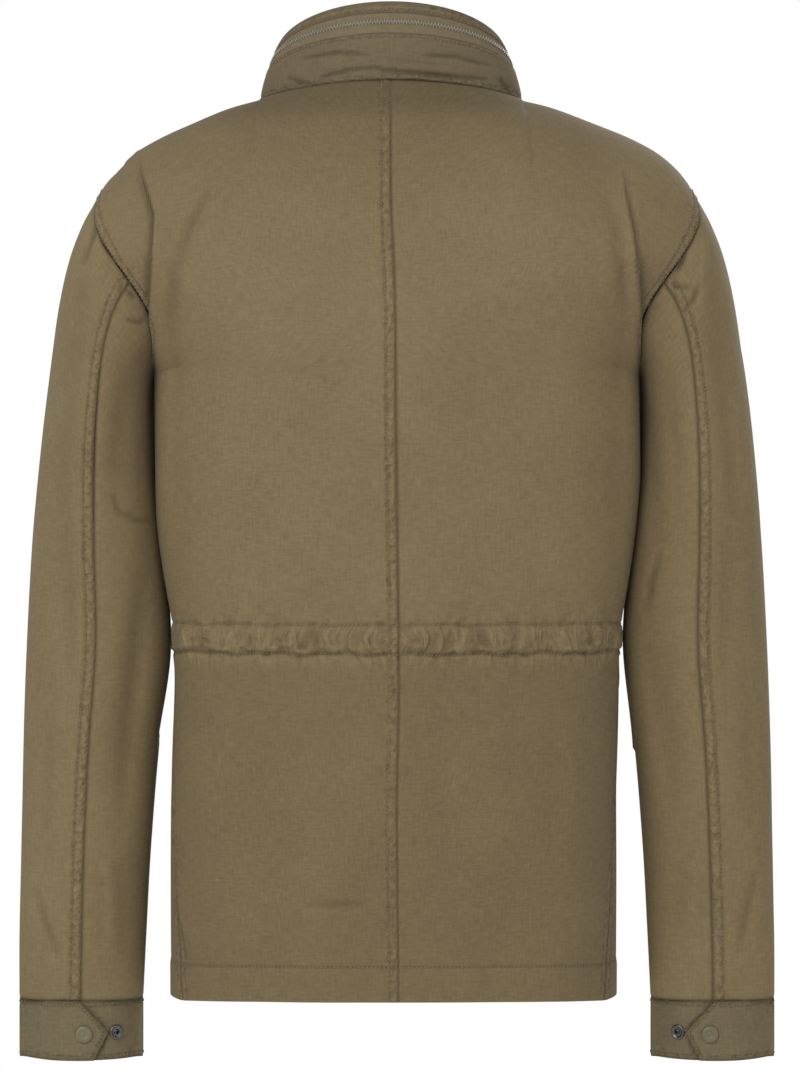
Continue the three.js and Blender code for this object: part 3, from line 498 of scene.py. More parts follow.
def sleeve(row, angle):
    """A point of the sleeve by the row of its table and the angle round it."""
    a = np.radians(angle)
    at = {name: column(SLEEVE, "row", name, row) for name in SLEEVE}
    share = (1 + np.cos(a)) / 2
    reach = np.where(np.sin(a) > 0, at["back"], -at["front"])
    x = lerp(at["inner_x"], at["outer_x"], share)
    z = lerp(at["inner_z"], at["outer_z"], share)
    oval_x, oval_z = lerp(ARM_INNER, ARM_OUTER, share), lerp(ARM_BOTTOM, ARM_TOP, share)
    oval = stack(oval_x, ARM_DEPTH * np.sin(a), oval_z)
    weight = np.maximum(at["armhole"], 0)[..., None]
    return stack(x, reach * np.sin(a), z) + (armhole(angle) - oval) * weight


def cuff(angle, level):
    """A point on the outside of a cuff. Past the lap the band lies on its other end."""
    end = {name: values[-1] for name, values in SLEEVE.items()}
    a = np.radians(angle)
    lift = (DOUBLE_CLOTH + SEAM_GAP) * smoothstep(angle, LAP_FROM, LAP_TO)
    x = (end["outer_x"] + end["inner_x"]) / 2
    y = (end["back"] + end["front"]) / 2
    half_width = (end["outer_x"] - end["inner_x"]) / 2 + lift
    half_depth = (end["back"] - end["front"]) / 2 + lift
    z = lerp(CUFF_BOTTOM, CUFF_TOP, level)
    band = y + half_depth * np.sin(a)
    # at the sides and in front the band lies along the end of the sleeve, so that no gap shows
    reach = np.where(np.sin(a) > 0, end["back"], -end["front"])
    sewn = (reach + lift) * np.sin(a)
    return stack(x + half_width * np.cos(a), lerp(band, sewn, smoothstep(-np.sin(a), -0.6, 0)), z)


def cuff_end(level):
    """The angle at which the pointed end of a cuff stops."""
    below = lerp(CUFF_END["bottom"], CUFF_END["tip"], level / CUFF_TIP)
    above = lerp(CUFF_END["tip"], CUFF_END["top"], (level - CUFF_TIP) / (1 - CUFF_TIP))
    return np.where(level < CUFF_TIP, below, above)


def seen(points, facing):
    """Where points are in the view from behind, or with facing -1 from the front."""
    x, y, z = np.moveaxis(points, -1, 0)
    nearer = CAMERA[1] / (CAMERA[1] - facing * y) / VIEW_STEP
    across = VIEW_CENTRE[0] - (facing * x - CAMERA[0]) * nearer
    return np.stack([across, VIEW_CENTRE[1] - (z - CAMERA[2]) * nearer], -1)


def beside_path(places, path):
    """How far places are from a path, on which side of it, and at which share along it."""
    path = np.asarray(path, float)
    spans = np.diff(path, axis=0)
    sizes = length(spans)
    before = np.concatenate([[0], np.cumsum(sizes)])
    best = np.full(places.shape[:-1], np.inf)
    side, share = np.zeros_like(best), np.zeros_like(best)
    for start, span, size, done in zip(path, spans, sizes, before):
        way = span / size
        offset = places - start
        along = np.clip(offset @ way, 0, size)
        distance = length(offset - along[..., None] * way)
        nearer = distance < best
        best = np.where(nearer, distance, best)
        side = np.where(nearer, offset[..., 0] * way[1] - offset[..., 1] * way[0], side)
        share = np.where(nearer, (done + along) / before[-1], share)
    return best, side, share


def fold_shadow(points, creases):
    """How dark each point is at the foot of the sharp folds seen from behind."""
    places = seen(points, 1)
    total = np.zeros(places.shape[:-1])
    for kind, height, _, path in creases:
        if kind == "fold":
            distance, side, share = beside_path(places, path)
            side = np.where(distance < 8, side, 99.0)
            fade = np.clip(12 * np.minimum(share, 1 - share), 0, 1)
            total = np.maximum(total, fade * min(height / 2, 1.5) * np.exp(-((side + 0.8) / 1.8) ** 2))
    return total


def crease_relief(points, facing, creases):
    """Relief of listed creases, each fading out at both ends of its path."""
    places = seen(points, facing)
    total = np.zeros(places.shape[:-1])
    for kind, height, width, path in creases:
        distance, side, share = beside_path(places, path)
        fade = np.sin(np.pi * np.clip(share, 0.001, 0.999)) ** 0.6
        if kind == "ridge":
            shape = np.exp(-(distance / width) ** 2)
        else:
            slope = np.exp(-np.maximum(side, 0) / width) * smoothstep(side, -3.5, 1.5)
            foot = -0.35 * np.exp(-((side + 5) / 3) ** 2)
            near = np.exp(-(np.maximum(distance - np.abs(side), 0) / 8) ** 2)
            shape = (slope + foot) * near * (distance < 6 * width)
        total += CREASING * height * fade * shape
    return total


def in_channel(z):
    """How near a height is to the middle of the waist channel."""
    return np.clip(1 - np.abs(z - CHANNEL_MID) / (CHANNEL_HIGH - CHANNEL_MID), 0, 1)


def channel_edge(x, edge):
    """The height of the channel's lower or upper seam, which the gathers pull out of line."""
    wave = 0.8 * np.sin(x / 8.3 + edge) + 0.6 * np.sin(x / 3.9 + 2 * edge)
    return edge + wave * (1 if edge == CHANNEL_LOW else 0.6)


def gathers(points, seed):
    """Relief of the waist channel and of the puckers that run out of it."""
    x, _, z = np.moveaxis(points, -1, 0)
    rng = np.random.default_rng(seed)
    total = np.zeros_like(x)
    at = -205.0
    while at < 205:
        at += rng.uniform(6.5, 17)
        width, height = rng.uniform(1.8, 4.2), rng.uniform(0.45, 1.35)
        lean, bow = rng.uniform(-0.45, 0.45), rng.uniform(-0.03, 0.03)
        middle = CHANNEL_MID + rng.uniform(-5, 4)
        up, down = rng.uniform(6, 26), rng.uniform(8, 34)
        rise = z - middle
        fade = np.exp(-(rise / np.where(rise > 0, up, down)) ** 2)
        offset = x - at - lean * rise - bow * rise ** 2
        total += PUCKERS * height * fade * np.exp(-(offset / width) ** 2)
    total -= 0.45 * np.exp(-((z - CHANNEL_MID) / 16) ** 2)
    low, high = channel_edge(x, CHANNEL_LOW), channel_edge(x, CHANNEL_HIGH)
    roll_z = low + 4.4 + 1.7 * np.sin(x / 5.3 + seed) + 0.9 * np.sin(x / 3.4 + 2 * seed)
    rolled = 0.6 + 0.4 * np.sin(x / 11.7 + 3 * seed)
    total += 2.1 * rolled * np.exp(-((z - roll_z) / 2.3) ** 2)
    total -= 1.4 * np.exp(-((z - low) / 1.5) ** 2)
    total -= 0.8 * np.exp(-((z - high) / 1.3) ** 2)
    return total + CHANNEL_PUFF * np.sin(in_channel(z) * np.pi / 2)


def body_relief(panel, side, points, columns):
    """Long folds, creases and gathers of a body panel."""
    x, _, z = np.moveaxis(points, -1, 0)
    last = panel["neck"] + panel["shoulder"]
    clear = smoothstep(np.minimum(columns, last - columns), 0, 2)[None, :]
    folds = np.zeros_like(x)
    for name, fold_side, fold_x, top, bottom, width, depth, lean in BODY_FOLDS:
        if name == panel["name"] and fold_side == side:
            share = np.clip((z - bottom) / (top - bottom), 0, 1)
            offset = side * x - fold_x - lean * (z - top)
            folds += depth * np.sin(np.pi * share) * np.exp(-(offset / width) ** 2)
    facing, creases = (1, BACK_CREASES) if panel is BACK else (-1, FRONT_CREASES)
    edge_clear = smoothstep(np.minimum(columns, last - columns), 0, 0.5)[None, :]
    placed = crease_relief(points, facing, creases)
    waist = gathers(points, 11 if panel is BACK else 23)
    puff = CHANNEL_PUFF * np.sin(in_channel(z) * np.pi / 2)
    return clear * folds + edge_clear * (placed + waist - puff) + puff


def sleeve_relief(points, rows, angles, side):
    """Folds and creases of a sleeve piece."""
    row, angle = np.meshgrid(rows, (angles + 360) % 360, indexing="ij")
    last = len(SLEEVE["row"]) - 1
    ends = smoothstep(np.minimum(rows, last - rows), 0, 1.5)[:, None]
    spread = np.interp(angles, (angles[0], angles[0] + 22, angles[-1] - 22, angles[-1]),
                       (0, 1.5, 1.5, 0))
    edges = smoothstep(spread, 0, 1.5)[None, :]
    total = np.zeros_like(row)
    for fold_angle, fold_row, fold_spread, fold_length, depth, lean in SLEEVE_FOLDS:
        level = (row - fold_row - (0 if side > 0 else 0.35)) / fold_length
        offset = (angle - fold_angle - lean * level) / fold_spread
        total += depth * np.exp(-level ** 2 - offset ** 2)
    behind = smoothstep(np.sin(np.radians(angle)), -0.05, 0.3)
    ahead = smoothstep(-np.sin(np.radians(angle)), -0.05, 0.3)
    near_ends = smoothstep(np.minimum(rows, last - rows), 0, 0.12)[:, None]
    near_edges = smoothstep(spread, 0, 0.25)[None, :]
    placed = behind * crease_relief(points, 1, SLEEVE_BACK_CREASES)
    placed += ahead * crease_relief(points, -1, SLEEVE_FRONT_CREASES)
    return ends * edges * total + near_ends * near_edges * placed


def grid_normals(points, inside):
    """Unit normals of a grid of points, pointing away from points inside it."""
    across = np.empty_like(points)
    across[:, 1:-1] = points[:, 2:] - points[:, :-2]
    across[:, 0] = points[:, 1] - points[:, 0]
    across[:, -1] = points[:, -1] - points[:, -2]
    up = np.empty_like(points)
    up[1:-1] = points[2:] - points[:-2]
    up[0] = points[1] - points[0]
    up[-1] = points[-1] - points[-2]
    normals = unit(np.cross(across, up))
    outward = np.sum(normals * (points - inside), axis=-1, keepdims=True)
    return np.where(outward < 0, -normals, normals)


def hollows(relief, passes=7):
    """How far each point of a relief lies below the cloth around it."""
    around = relief
    for _ in range(passes):
        wide = np.pad(around, 1, mode="edge")
        around = (wide[:-2, 1:-1] + wide[2:, 1:-1] + wide[1:-1, :-2] + wide[1:-1, 2:]) / 4
    return np.clip(around - relief, 0, None)


class Cloth:
    """A piece of cloth as a grid of points, its wall, and where its seams lie."""

    def __init__(self, name, points, inside, wall, recess=0.0):
        self.name = name
        self.points = points
        self.normals = grid_normals(points, inside)
        self.wall = wall
        self.recess = recess
        self.relief = np.zeros(points.shape[:2])
        self.detail = np.zeros(points.shape[:2])
        # How much darker the colour is: seam lines, and painted shade at folds, in hollows, on the skirt
        # and under the collar
        self.dark = np.zeros(points.shape[:2])
        self.pucker = np.zeros(points.shape[:2])
        self.gather = np.zeros(points.shape[:2])

    def from_edge(self, edge):
        """How far each point is from an edge of the grid, along its row or its column."""
        if edge in ("first", "last"):
            start = self.points[:, :1] if edge == "first" else self.points[:, -1:]
            return length(self.points - start)
        start = self.points[:1] if edge == "bottom" else self.points[-1:]
        return length(self.points - start)

    def seam(self, edge, depth=0.7, width=1.6):
        """A groove where the cloth turns in to a seam."""
        near = np.exp(-(self.from_edge(edge) / width) ** 2)
        self.detail -= depth * near
        self.dark = np.maximum(self.dark, near)

    def lap(self, edge, reach, height=0.35):
        """The seam allowance under the cloth, held down by a row of stitches."""
        distance = self.from_edge(edge)
        over = smoothstep(distance, 0.6, 2.2) * (1 - smoothstep(distance, reach, reach + 1.6))
        self.detail += height * over
        held = smoothstep(distance, 0.2, 1.6) * (1 - smoothstep(distance, reach, reach + 3.5))
        self.pucker = np.maximum(self.pucker, held)
        dent = np.exp(-((distance - reach) / 1.1) ** 2)
        self.detail -= 0.4 * dent
        self.dark = np.maximum(self.dark, 0.6 * dent)

    def outside(self):
        return self.points + self.normals * (self.relief + self.detail - self.recess)[..., None]

    def inset_border(self):
        """Moves the grid's border inwards, along its surface, by the seam's inset."""
        points = self.points
        moved = points.copy()
        for line, inner in ((np.s_[:, 0], np.s_[:, 1]), (np.s_[:, -1], np.s_[:, -2]),
                            (np.s_[0], np.s_[1]), (np.s_[-1], np.s_[-2])):
            edge = points[line]
            along = unit(np.gradient(edge, axis=0))
            inwards = unit(np.cross(along, self.normals[line]))
            way = np.sign(np.sum(inwards * (points[inner] - edge), axis=-1, keepdims=True))
            moved[line] += inwards * way * SEAM_INSET
        self.points = moved


def share_seam_normals(pieces):
    """Gives pieces that meet at a seam the same normals there, so their walls are mitred."""
    borders = []
    for piece in pieces:
        mask = np.zeros(piece.points.shape[:2], bool)
        mask[[0, -1]] = True
        mask[:, [0, -1]] = True
        borders.append(mask)
    keys = np.concatenate([np.round(p.points[m] * 20) for p, m in zip(pieces, borders)])
    normals = np.concatenate([p.normals[m] for p, m in zip(pieces, borders)])
    _, group = np.unique(keys.astype(np.int64), axis=0, return_inverse=True)
    group = group.ravel()
    sums = np.zeros((group.max() + 1, 3))
    np.add.at(sums, group, normals)
    shared = unit(sums)[group]
    done = 0
    for piece, mask in zip(pieces, borders):
        count = int(mask.sum())
        piece.normals[mask] = shared[done:done + count]
        done += count


def shell_mesh(piece):
    """The closed mesh of a piece of cloth, with its sizes in metres as UV coordinates."""
    outer = piece.outside() * MM
    inner = (piece.points + piece.normals * (piece.relief - piece.recess - piece.wall)[..., None]) * MM
    rows, columns = outer.shape[:2]
    number = np.arange(rows * columns).reshape(rows, columns)
    quads = np.stack([number[:-1, :-1], number[:-1, 1:], number[1:, 1:], number[1:, :-1]], -1)
    quads = quads.reshape(-1, 4)
    a, b, c = (outer.reshape(-1, 3)[quads[:, i]] for i in (0, 1, 2))
    faces_out = np.sum(np.cross(b - a, c - a) * piece.normals.reshape(-1, 3)[quads[:, 0]]) > 0
    total = rows * columns
    ring = np.concatenate([number[0], number[1:, -1], number[-1, -2::-1], number[-2:0:-1, 0]])
    after = np.roll(ring, -1)
    rim = np.stack([after, ring, ring + total, after + total], -1)
    faces = np.concatenate([quads, quads[:, ::-1] + total, rim])
    if not faces_out:
        faces = faces[:, ::-1]
    mesh = bpy.data.meshes.new(piece.name)
    vertices = np.concatenate([outer.reshape(-1, 3), inner.reshape(-1, 3)])
    mesh.from_pydata(vertices.tolist(), [], faces.tolist())
    middle = columns // 2
    across = np.cumsum(length(np.diff(outer, axis=1, prepend=outer[:, :1])), axis=1)
    across -= across[:, middle:middle + 1]
    along = np.cumsum(length(np.diff(outer, axis=0, prepend=outer[:1])), axis=0)
    along = np.broadcast_to(along[:, middle:middle + 1], across.shape)
    flat = np.stack([across, along], -1).reshape(-1, 2)
    corners = faces.ravel() % total
    mesh.uv_layers.new(name="cut").data.foreach_set("uv", flat[corners].ravel())
    # The seam attribute holds darker seam lines together with painted shade, and the material darkens the
    # colour by it
    for label, values in (("seam", piece.dark), ("pucker", piece.pucker), ("gather", piece.gather)):
        made = mesh.attributes.new(label, "FLOAT", "POINT")
        made.data.foreach_set("value", np.concatenate([values.ravel()] * 2).astype(np.float32))
    mesh.shade_smooth()
    mesh.set_sharp_from_angle(angle=math.radians(55))
    mesh.update()
    return mesh


def add_object(name, mesh, *materials):
    """A new object at the origin with a mesh and its materials."""
    made = bpy.data.objects.new(name, mesh)
    bpy.context.scene.collection.objects.link(made)
    for item in materials:
        made.data.materials.append(item)
    return made


def finish_piece(made, body="root", replaces=()):
    """Puts a piece on its body and hides the solids it stands for."""
    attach(made, body)
    if replaces:
        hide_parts(*replaces)
    return made


VECTOR, NUMBER, COLOUR = "NodeSocketVector", "NodeSocketFloat", "NodeSocketColor"


def socket(tree, name, kind, default=None, output=False):
    """A named input or output of a node group."""
    way = "OUTPUT" if output else "INPUT"
    made = tree.interface.new_socket(name=name, in_out=way, socket_type=kind)
    if default is not None:
        made.default_value = default
    return made


def node(tree, kind, values=(), links=(), **properties):
    """A node with properties, input values and links from other sockets."""
    made = tree.nodes.new(kind)
    for name, value in properties.items():
        setattr(made, name, value)
    for key, value in dict(values).items():
        made.inputs[key].default_value = value
    for key, source in dict(links).items():
        tree.links.new(source, made.inputs[key])
    return made


def maths(tree, operation, *terms):
    """The result of a Math node, whose terms are numbers or other nodes' sockets."""
    made = node(tree, "ShaderNodeMath", operation=operation)
    for place, term in zip(made.inputs, terms):
        if isinstance(term, (int, float)):
            place.default_value = term
        else:
            tree.links.new(term, place)
    return made.outputs[0]


def noise(tree, place, values, **properties):
    """The value of a noise texture at a place."""
    return node(tree, "ShaderNodeTexNoise", values, {"Vector": place}, **properties).outputs[0]


def new_group(name, inputs, outputs, kind="ShaderNodeTree"):
    """A node group with its named inputs and outputs, and the sockets that bring its inputs."""
    tree = bpy.data.node_groups.new(name, kind)
    for label, socket_kind, *default in inputs:
        socket(tree, label, socket_kind, *default)
    for label, socket_kind in outputs:
        socket(tree, label, socket_kind, output=True)
    return tree, node(tree, "NodeGroupInput").outputs


def weave_group():
    """Threads of a plain weave as a height and as light and dark streaks."""
    name = "Cotton weave"
    if name in bpy.data.node_groups:
        return bpy.data.node_groups[name]
    tree, given = new_group(
        name,
        (("Surface", VECTOR), ("Threads per metre", NUMBER, 1500.0), ("Streaks", NUMBER, 1.0)),
        (("Height", NUMBER), ("Shade", NUMBER)))
    scaled = node(tree, "ShaderNodeVectorMath", operation="SCALE",
                  links={0: given["Surface"], 3: given["Threads per metre"]})
    across, along, _ = node(tree, "ShaderNodeSeparateXYZ", links={0: scaled.outputs[0]}).outputs
    height = maths(tree, "MULTIPLY", maths(tree, "SINE", across), maths(tree, "SINE", along))
    shades = []
    for stretch in ((620, 95, 1), (110, 560, 1)):
        spread = node(tree, "ShaderNodeMapping", {"Scale": stretch}, {"Vector": given["Surface"]})
        shades.append(noise(tree, spread.outputs[0], {"Scale": 1.0, "Detail": 2.0, "Roughness": 0.6},
                            noise_dimensions="2D"))
    centred = maths(tree, "SUBTRACT", maths(tree, "ADD", *shades), 1.0)
    shade = maths(tree, "MULTIPLY", centred, given["Streaks"])
    node(tree, "NodeGroupOutput", links={"Height": height, "Shade": shade})
    return tree


def dye_and_shade_group():
    """A dyed colour with washed patches, thread streaks and darker seam lines. Through the Streaks and
    Seam inputs it also takes painted shade.
    """
    name = "Washed dye"
    if name in bpy.data.node_groups:
        return bpy.data.node_groups[name]
    tree, given = new_group(
        name,
        (("Dye", COLOUR, (0.2, 0.16, 0.09, 1)), ("Place", VECTOR), ("Streaks", NUMBER, 0.0),
         ("Seam", NUMBER, 0.0), ("Patches", NUMBER, 0.12), ("Seam darkness", NUMBER, 0.35)),
        (("Colour", COLOUR), ("Wear", NUMBER)))
    broad = noise(tree, given["Place"], {"Scale": 13.0, "Detail": 3.0, "Roughness": 0.55})
    close = noise(tree, given["Place"], {"Scale": 170.0, "Detail": 2.0, "Roughness": 0.5})
    wear = maths(tree, "MULTIPLY_ADD", close, 0.4, broad)
    patch = maths(tree, "MULTIPLY", maths(tree, "SUBTRACT", wear, 0.7), given["Patches"])
    shift = maths(tree, "ADD", maths(tree, "ADD", patch, given["Streaks"]), 1.0)
    seam = maths(tree, "MULTIPLY", given["Seam"], given["Seam darkness"])
    value = maths(tree, "MULTIPLY", shift, maths(tree, "SUBTRACT", 1.0, seam))
    greener = maths(tree, "MULTIPLY_ADD", broad, 0.02, 0.49)
    colour = node(tree, "ShaderNodeHueSaturation",
                  links={"Hue": greener, "Value": value, "Color": given["Dye"]})
    node(tree, "NodeGroupOutput", links={"Colour": colour.outputs[0], "Wear": wear})
    return tree


def pucker_group():
    """Small puckers along held seams, and longer ones where cloth is gathered up and down, as a height and
    as painted shade in their hollows and painted light on their crests.
    """
    name = "Puckers"
    if name in bpy.data.node_groups:
        return bpy.data.node_groups[name]
    tree, given = new_group(
        name,
        (("Surface", VECTOR), ("Place", VECTOR), ("Seam pucker", NUMBER, 0.0),
         ("Gather", NUMBER, 0.0)),
        (("Height", NUMBER), ("Shade", NUMBER)))
    small = noise(tree, given["Place"], {"Scale": 230.0, "Detail": 1.5, "Roughness": 0.5})
    spread = node(tree, "ShaderNodeMapping", {"Scale": (105, 42, 1)}, {"Vector": given["Surface"]})
    long = noise(tree, spread.outputs[0],
                 {"Scale": 1.0, "Detail": 2.5, "Roughness": 0.6, "Distortion": 0.9},
                 noise_dimensions="2D")
    parts = []
    for texture, mask, strength in ((small, "Seam pucker", 3.4), (long, "Gather", 4.2)):
        scaled = maths(tree, "MULTIPLY", maths(tree, "SUBTRACT", texture, 0.5), strength)
        parts.append(maths(tree, "MULTIPLY", scaled, given[mask]))
    height = maths(tree, "ADD", *parts)
    # Painted shade in the puckers' hollows and painted light on their crests
    shade = maths(tree, "MULTIPLY", height, 0.24)
    node(tree, "NodeGroupOutput", links={"Height": height, "Shade": shade})
    return tree


def new_material(name):
    """A material with nodes, its tree and its Principled BSDF, or None if it was made before."""
    if name in bpy.data.materials:
        return bpy.data.materials[name], None, None
    made = bpy.data.materials.new(name)
    made.use_nodes = True
    return made, made.node_tree, made.node_tree.nodes["Principled BSDF"]


def cloth_material(name, dye, patches=0.2, streaks=0.34, seam=0.5, threads=2600.0, bump=0.12):
    """Dyed cotton: weave, washed patches, darker seams and painted shade, on the cut's own UV map."""
    made, tree, shader = new_material(name)
    if tree is None:
        return made
    surface = node(tree, "ShaderNodeUVMap", uv_map="cut").outputs[0]
    place = node(tree, "ShaderNodeTexCoord").outputs["Object"]
    # The seam attribute: darker seam lines and painted shade
    seam_and_shade = node(tree, "ShaderNodeAttribute", attribute_name="seam").outputs["Fac"]
    weave = node(tree, "ShaderNodeGroup", node_tree=weave_group(),
                 values={"Threads per metre": threads, "Streaks": streaks}, links={"Surface": surface})
    masks = [node(tree, "ShaderNodeAttribute", attribute_name=label).outputs["Fac"]
             for label in ("pucker", "gather")]
    puckers = node(tree, "ShaderNodeGroup", node_tree=pucker_group(), links={
        "Surface": surface, "Place": place, "Seam pucker": masks[0], "Gather": masks[1]})
    # The weave's streaks, with painted shade and light on the puckers
    shades = maths(tree, "ADD", weave.outputs["Shade"], puckers.outputs["Shade"])
    dyed = node(tree, "ShaderNodeGroup", node_tree=dye_and_shade_group(),
                values={"Dye": dye, "Patches": patches, "Seam darkness": seam},
                links={"Place": place, "Streaks": shades, "Seam": seam_and_shade})
    rough = node(tree, "ShaderNodeMapRange", {"To Min": 0.97, "To Max": 0.84},
                 {"Value": dyed.outputs["Wear"]})
    crumple = noise(tree, place, {"Scale": 95.0, "Detail": 4.0, "Roughness": 0.55})
    height = maths(tree, "ADD", maths(tree, "MULTIPLY", crumple, 6.0), weave.outputs["Height"])
    bumped = node(tree, "ShaderNodeBump", {"Strength": bump, "Distance": 0.0003}, {"Height": height})
    creased = node(tree, "ShaderNodeBump", {"Strength": 1.0, "Distance": 0.001},
                   {"Height": puckers.outputs["Height"], "Normal": bumped.outputs[0]})
    tree.links.new(dyed.outputs["Colour"], shader.inputs["Base Color"])
    tree.links.new(rough.outputs[0], shader.inputs["Roughness"])
    tree.links.new(creased.outputs[0], shader.inputs["Normal"])
    shader.inputs["Specular IOR Level"].default_value = 0.12
    shader.inputs["Sheen Weight"].default_value = 0.06
    shader.inputs["Sheen Roughness"].default_value = 0.45
    return made


def tape_material(colours):
    """The woven tape of both zips, denser and rougher than the cotton."""
    return cloth_material("Woven tape", colours.tape, streaks=0.3, threads=3400.0, bump=0.3)


def hard_material(name, colour, metallic, roughness, scratches, bump=0.2):
    """Painted or plated metal with fine scratches and rubbed patches."""
    made, tree, shader = new_material(name)
    if tree is None:
        return made
    place = node(tree, "ShaderNodeTexCoord").outputs["Object"]
    dyed = node(tree, "ShaderNodeGroup", node_tree=dye_and_shade_group(),
                values={"Dye": colour, "Patches": scratches, "Seam darkness": 0.0},
                links={"Place": place})
    fine = node(tree, "ShaderNodeTexNoise", {"Scale": 1900.0, "Detail": 2.0}, {"Vector": place})
    rough = node(tree, "ShaderNodeMapRange",
                 {"To Min": roughness - 0.1, "To Max": roughness + 0.12}, {"Value": fine.outputs[0]})
    bumped = node(tree, "ShaderNodeBump", {"Strength": bump, "Distance": 0.00005},
                  {"Height": fine.outputs[0]})
    tree.links.new(dyed.outputs["Colour"], shader.inputs["Base Color"])
    tree.links.new(rough.outputs[0], shader.inputs["Roughness"])
    tree.links.new(bumped.outputs[0], shader.inputs["Normal"])
    shader.inputs["Metallic"].default_value = metallic
    return made


def thread_material(name, dye):
    """Sewing thread: a twisted strand with light and dark plies."""
    made, tree, shader = new_material(name)
    if tree is None:
        return made
    place = node(tree, "ShaderNodeTexCoord").outputs["Object"]
    twist = node(tree, "ShaderNodeTexNoise", {"Scale": 2400.0, "Detail": 1.0}, {"Vector": place})
    shade = node(tree, "ShaderNodeMapRange", {"To Min": -0.25, "To Max": 0.25},
                 {"Value": twist.outputs[0]})
    dyed = node(tree, "ShaderNodeGroup", node_tree=dye_and_shade_group(),
                values={"Dye": dye, "Patches": 0.2, "Seam darkness": 0.0},
                links={"Place": place, "Streaks": shade.outputs[0]})
    bumped = node(tree, "ShaderNodeBump", {"Strength": 0.4, "Distance": 0.0001},
                  {"Height": twist.outputs[0]})
    tree.links.new(dyed.outputs["Colour"], shader.inputs["Base Color"])
    tree.links.new(bumped.outputs[0], shader.inputs["Normal"])
    shader.inputs["Roughness"].default_value = 0.7
    shader.inputs["Sheen Weight"].default_value = 0.2
    return made


def repeat_tree(name, shape):
    """Geometry Nodes that put one shape at every point, turned by its along and out vectors."""
    if name in bpy.data.node_groups:
        return bpy.data.node_groups[name]
    tree, given = new_group(
        name,
        (("Geometry", "NodeSocketGeometry"), ("Length", NUMBER, 0.002), ("Thickness", NUMBER, 0.0005),
         ("Unevenness", NUMBER, 0.1), ("Seed", "NodeSocketInt", 7), ("Material", "NodeSocketMaterial")),
        (("Geometry", "NodeSocketGeometry"),), "GeometryNodeTree")
    tree.is_modifier = True
    along, out = (node(tree, "GeometryNodeInputNamedAttribute", {"Name": name},
                       data_type="FLOAT_VECTOR").outputs[0] for name in ("along", "out"))
    turned = node(tree, "FunctionNodeAlignRotationToVector", links={"Vector": along}, axis="X")
    upright = node(tree, "FunctionNodeAlignRotationToVector", axis="Z", pivot_axis="X",
                   links={"Rotation": turned.outputs[0], "Vector": out})
    least = maths(tree, "SUBTRACT", 1.0, given["Unevenness"])
    most = maths(tree, "ADD", 1.0, given["Unevenness"])
    varied = node(tree, "FunctionNodeRandomValue", data_type="FLOAT",
                  links={"Min": least, "Max": most, "Seed": given["Seed"]})
    placed = node(tree, "GeometryNodeInstanceOnPoints",
                  links={"Points": given["Geometry"], "Instance": shape(tree, given),
                         "Rotation": upright.outputs[0], "Scale": varied.outputs[1]})
    real = node(tree, "GeometryNodeRealizeInstances", links={0: placed.outputs[0]})
    smooth = node(tree, "GeometryNodeSetShadeSmooth", links={0: real.outputs[0]})
    painted = node(tree, "GeometryNodeSetMaterial",
                   links={"Geometry": smooth.outputs[0], "Material": given["Material"]})
    node(tree, "NodeGroupOutput", links={0: painted.outputs[0]})
    return tree


def thread_shape(tree, given):
    """One stitch: a rounded strand as long as the stitch."""
    ball = node(tree, "GeometryNodeMeshUVSphere", {"Segments": 6, "Rings": 4, "Radius": 0.5})
    size = node(tree, "ShaderNodeCombineXYZ", links={
        "X": given["Length"], "Y": given["Thickness"], "Z": given["Thickness"]})
    scaled = node(tree, "GeometryNodeTransform",
                  links={"Geometry": ball.outputs["Mesh"], "Scale": size.outputs[0]})
    return scaled.outputs[0]


def tooth_shape(tree, given):
    """One zip tooth: a bar across the zip with a round head."""
    bar = node(tree, "GeometryNodeMeshCube")
    size = node(tree, "ShaderNodeCombineXYZ", links={
        "X": given["Thickness"], "Y": given["Length"], "Z": given["Thickness"]})
    tree.links.new(size.outputs[0], bar.inputs["Size"])
    head = node(tree, "GeometryNodeMeshUVSphere", {"Segments": 6, "Rings": 4, "Radius": 0.5})
    across = maths(tree, "MULTIPLY", given["Length"], 0.42)
    offset = node(tree, "ShaderNodeCombineXYZ", links={"Y": across})
    wide = maths(tree, "MULTIPLY", given["Thickness"], 1.35)
    head_size = node(tree, "ShaderNodeCombineXYZ", links={
        "X": wide, "Y": given["Thickness"], "Z": wide})
    moved = node(tree, "GeometryNodeTransform", links={
        "Geometry": head.outputs["Mesh"], "Translation": offset.outputs[0], "Scale": head_size.outputs[0]})
    joined = node(tree, "GeometryNodeJoinGeometry")
    tree.links.new(bar.outputs["Mesh"], joined.inputs[0])
    tree.links.new(moved.outputs[0], joined.inputs[0])
    return joined.outputs[0]


def repeat(name, tree, points, along, out, values, material, slot, body="root"):
    """A piece of many like shapes, one at each point, made by Geometry Nodes."""
    mesh = bpy.data.meshes.new(name)
    mesh.from_pydata((np.asarray(points) * MM).tolist(), [], [])
    for label, vectors in (("along", along), ("out", out)):
        attribute = mesh.attributes.new(label, "FLOAT_VECTOR", "POINT")
        attribute.data.foreach_set("vector", np.asarray(vectors, np.float32).ravel())
    source = add_object(name + "_points", mesh)
    modifier = source.modifiers.new("repeat", "NODES")
    modifier.node_group = tree
    values = {**values, "Material": material}
    for item in tree.interface.items_tree:
        if item.item_type == "SOCKET" and item.in_out == "INPUT" and item.name in values:
            modifier[item.identifier] = values[item.name]
    bpy.context.view_layer.update()
    seen_now = source.evaluated_get(bpy.context.evaluated_depsgraph_get())
    plain = bpy.data.meshes.new_from_object(seen_now)
    plain.name = name
    source.modifiers.remove(modifier)
    bpy.data.objects.remove(source)
    made = add_object(name, plain)
    if not plain.materials:
        plain.materials.append(material)
    return finish_piece(made, body)


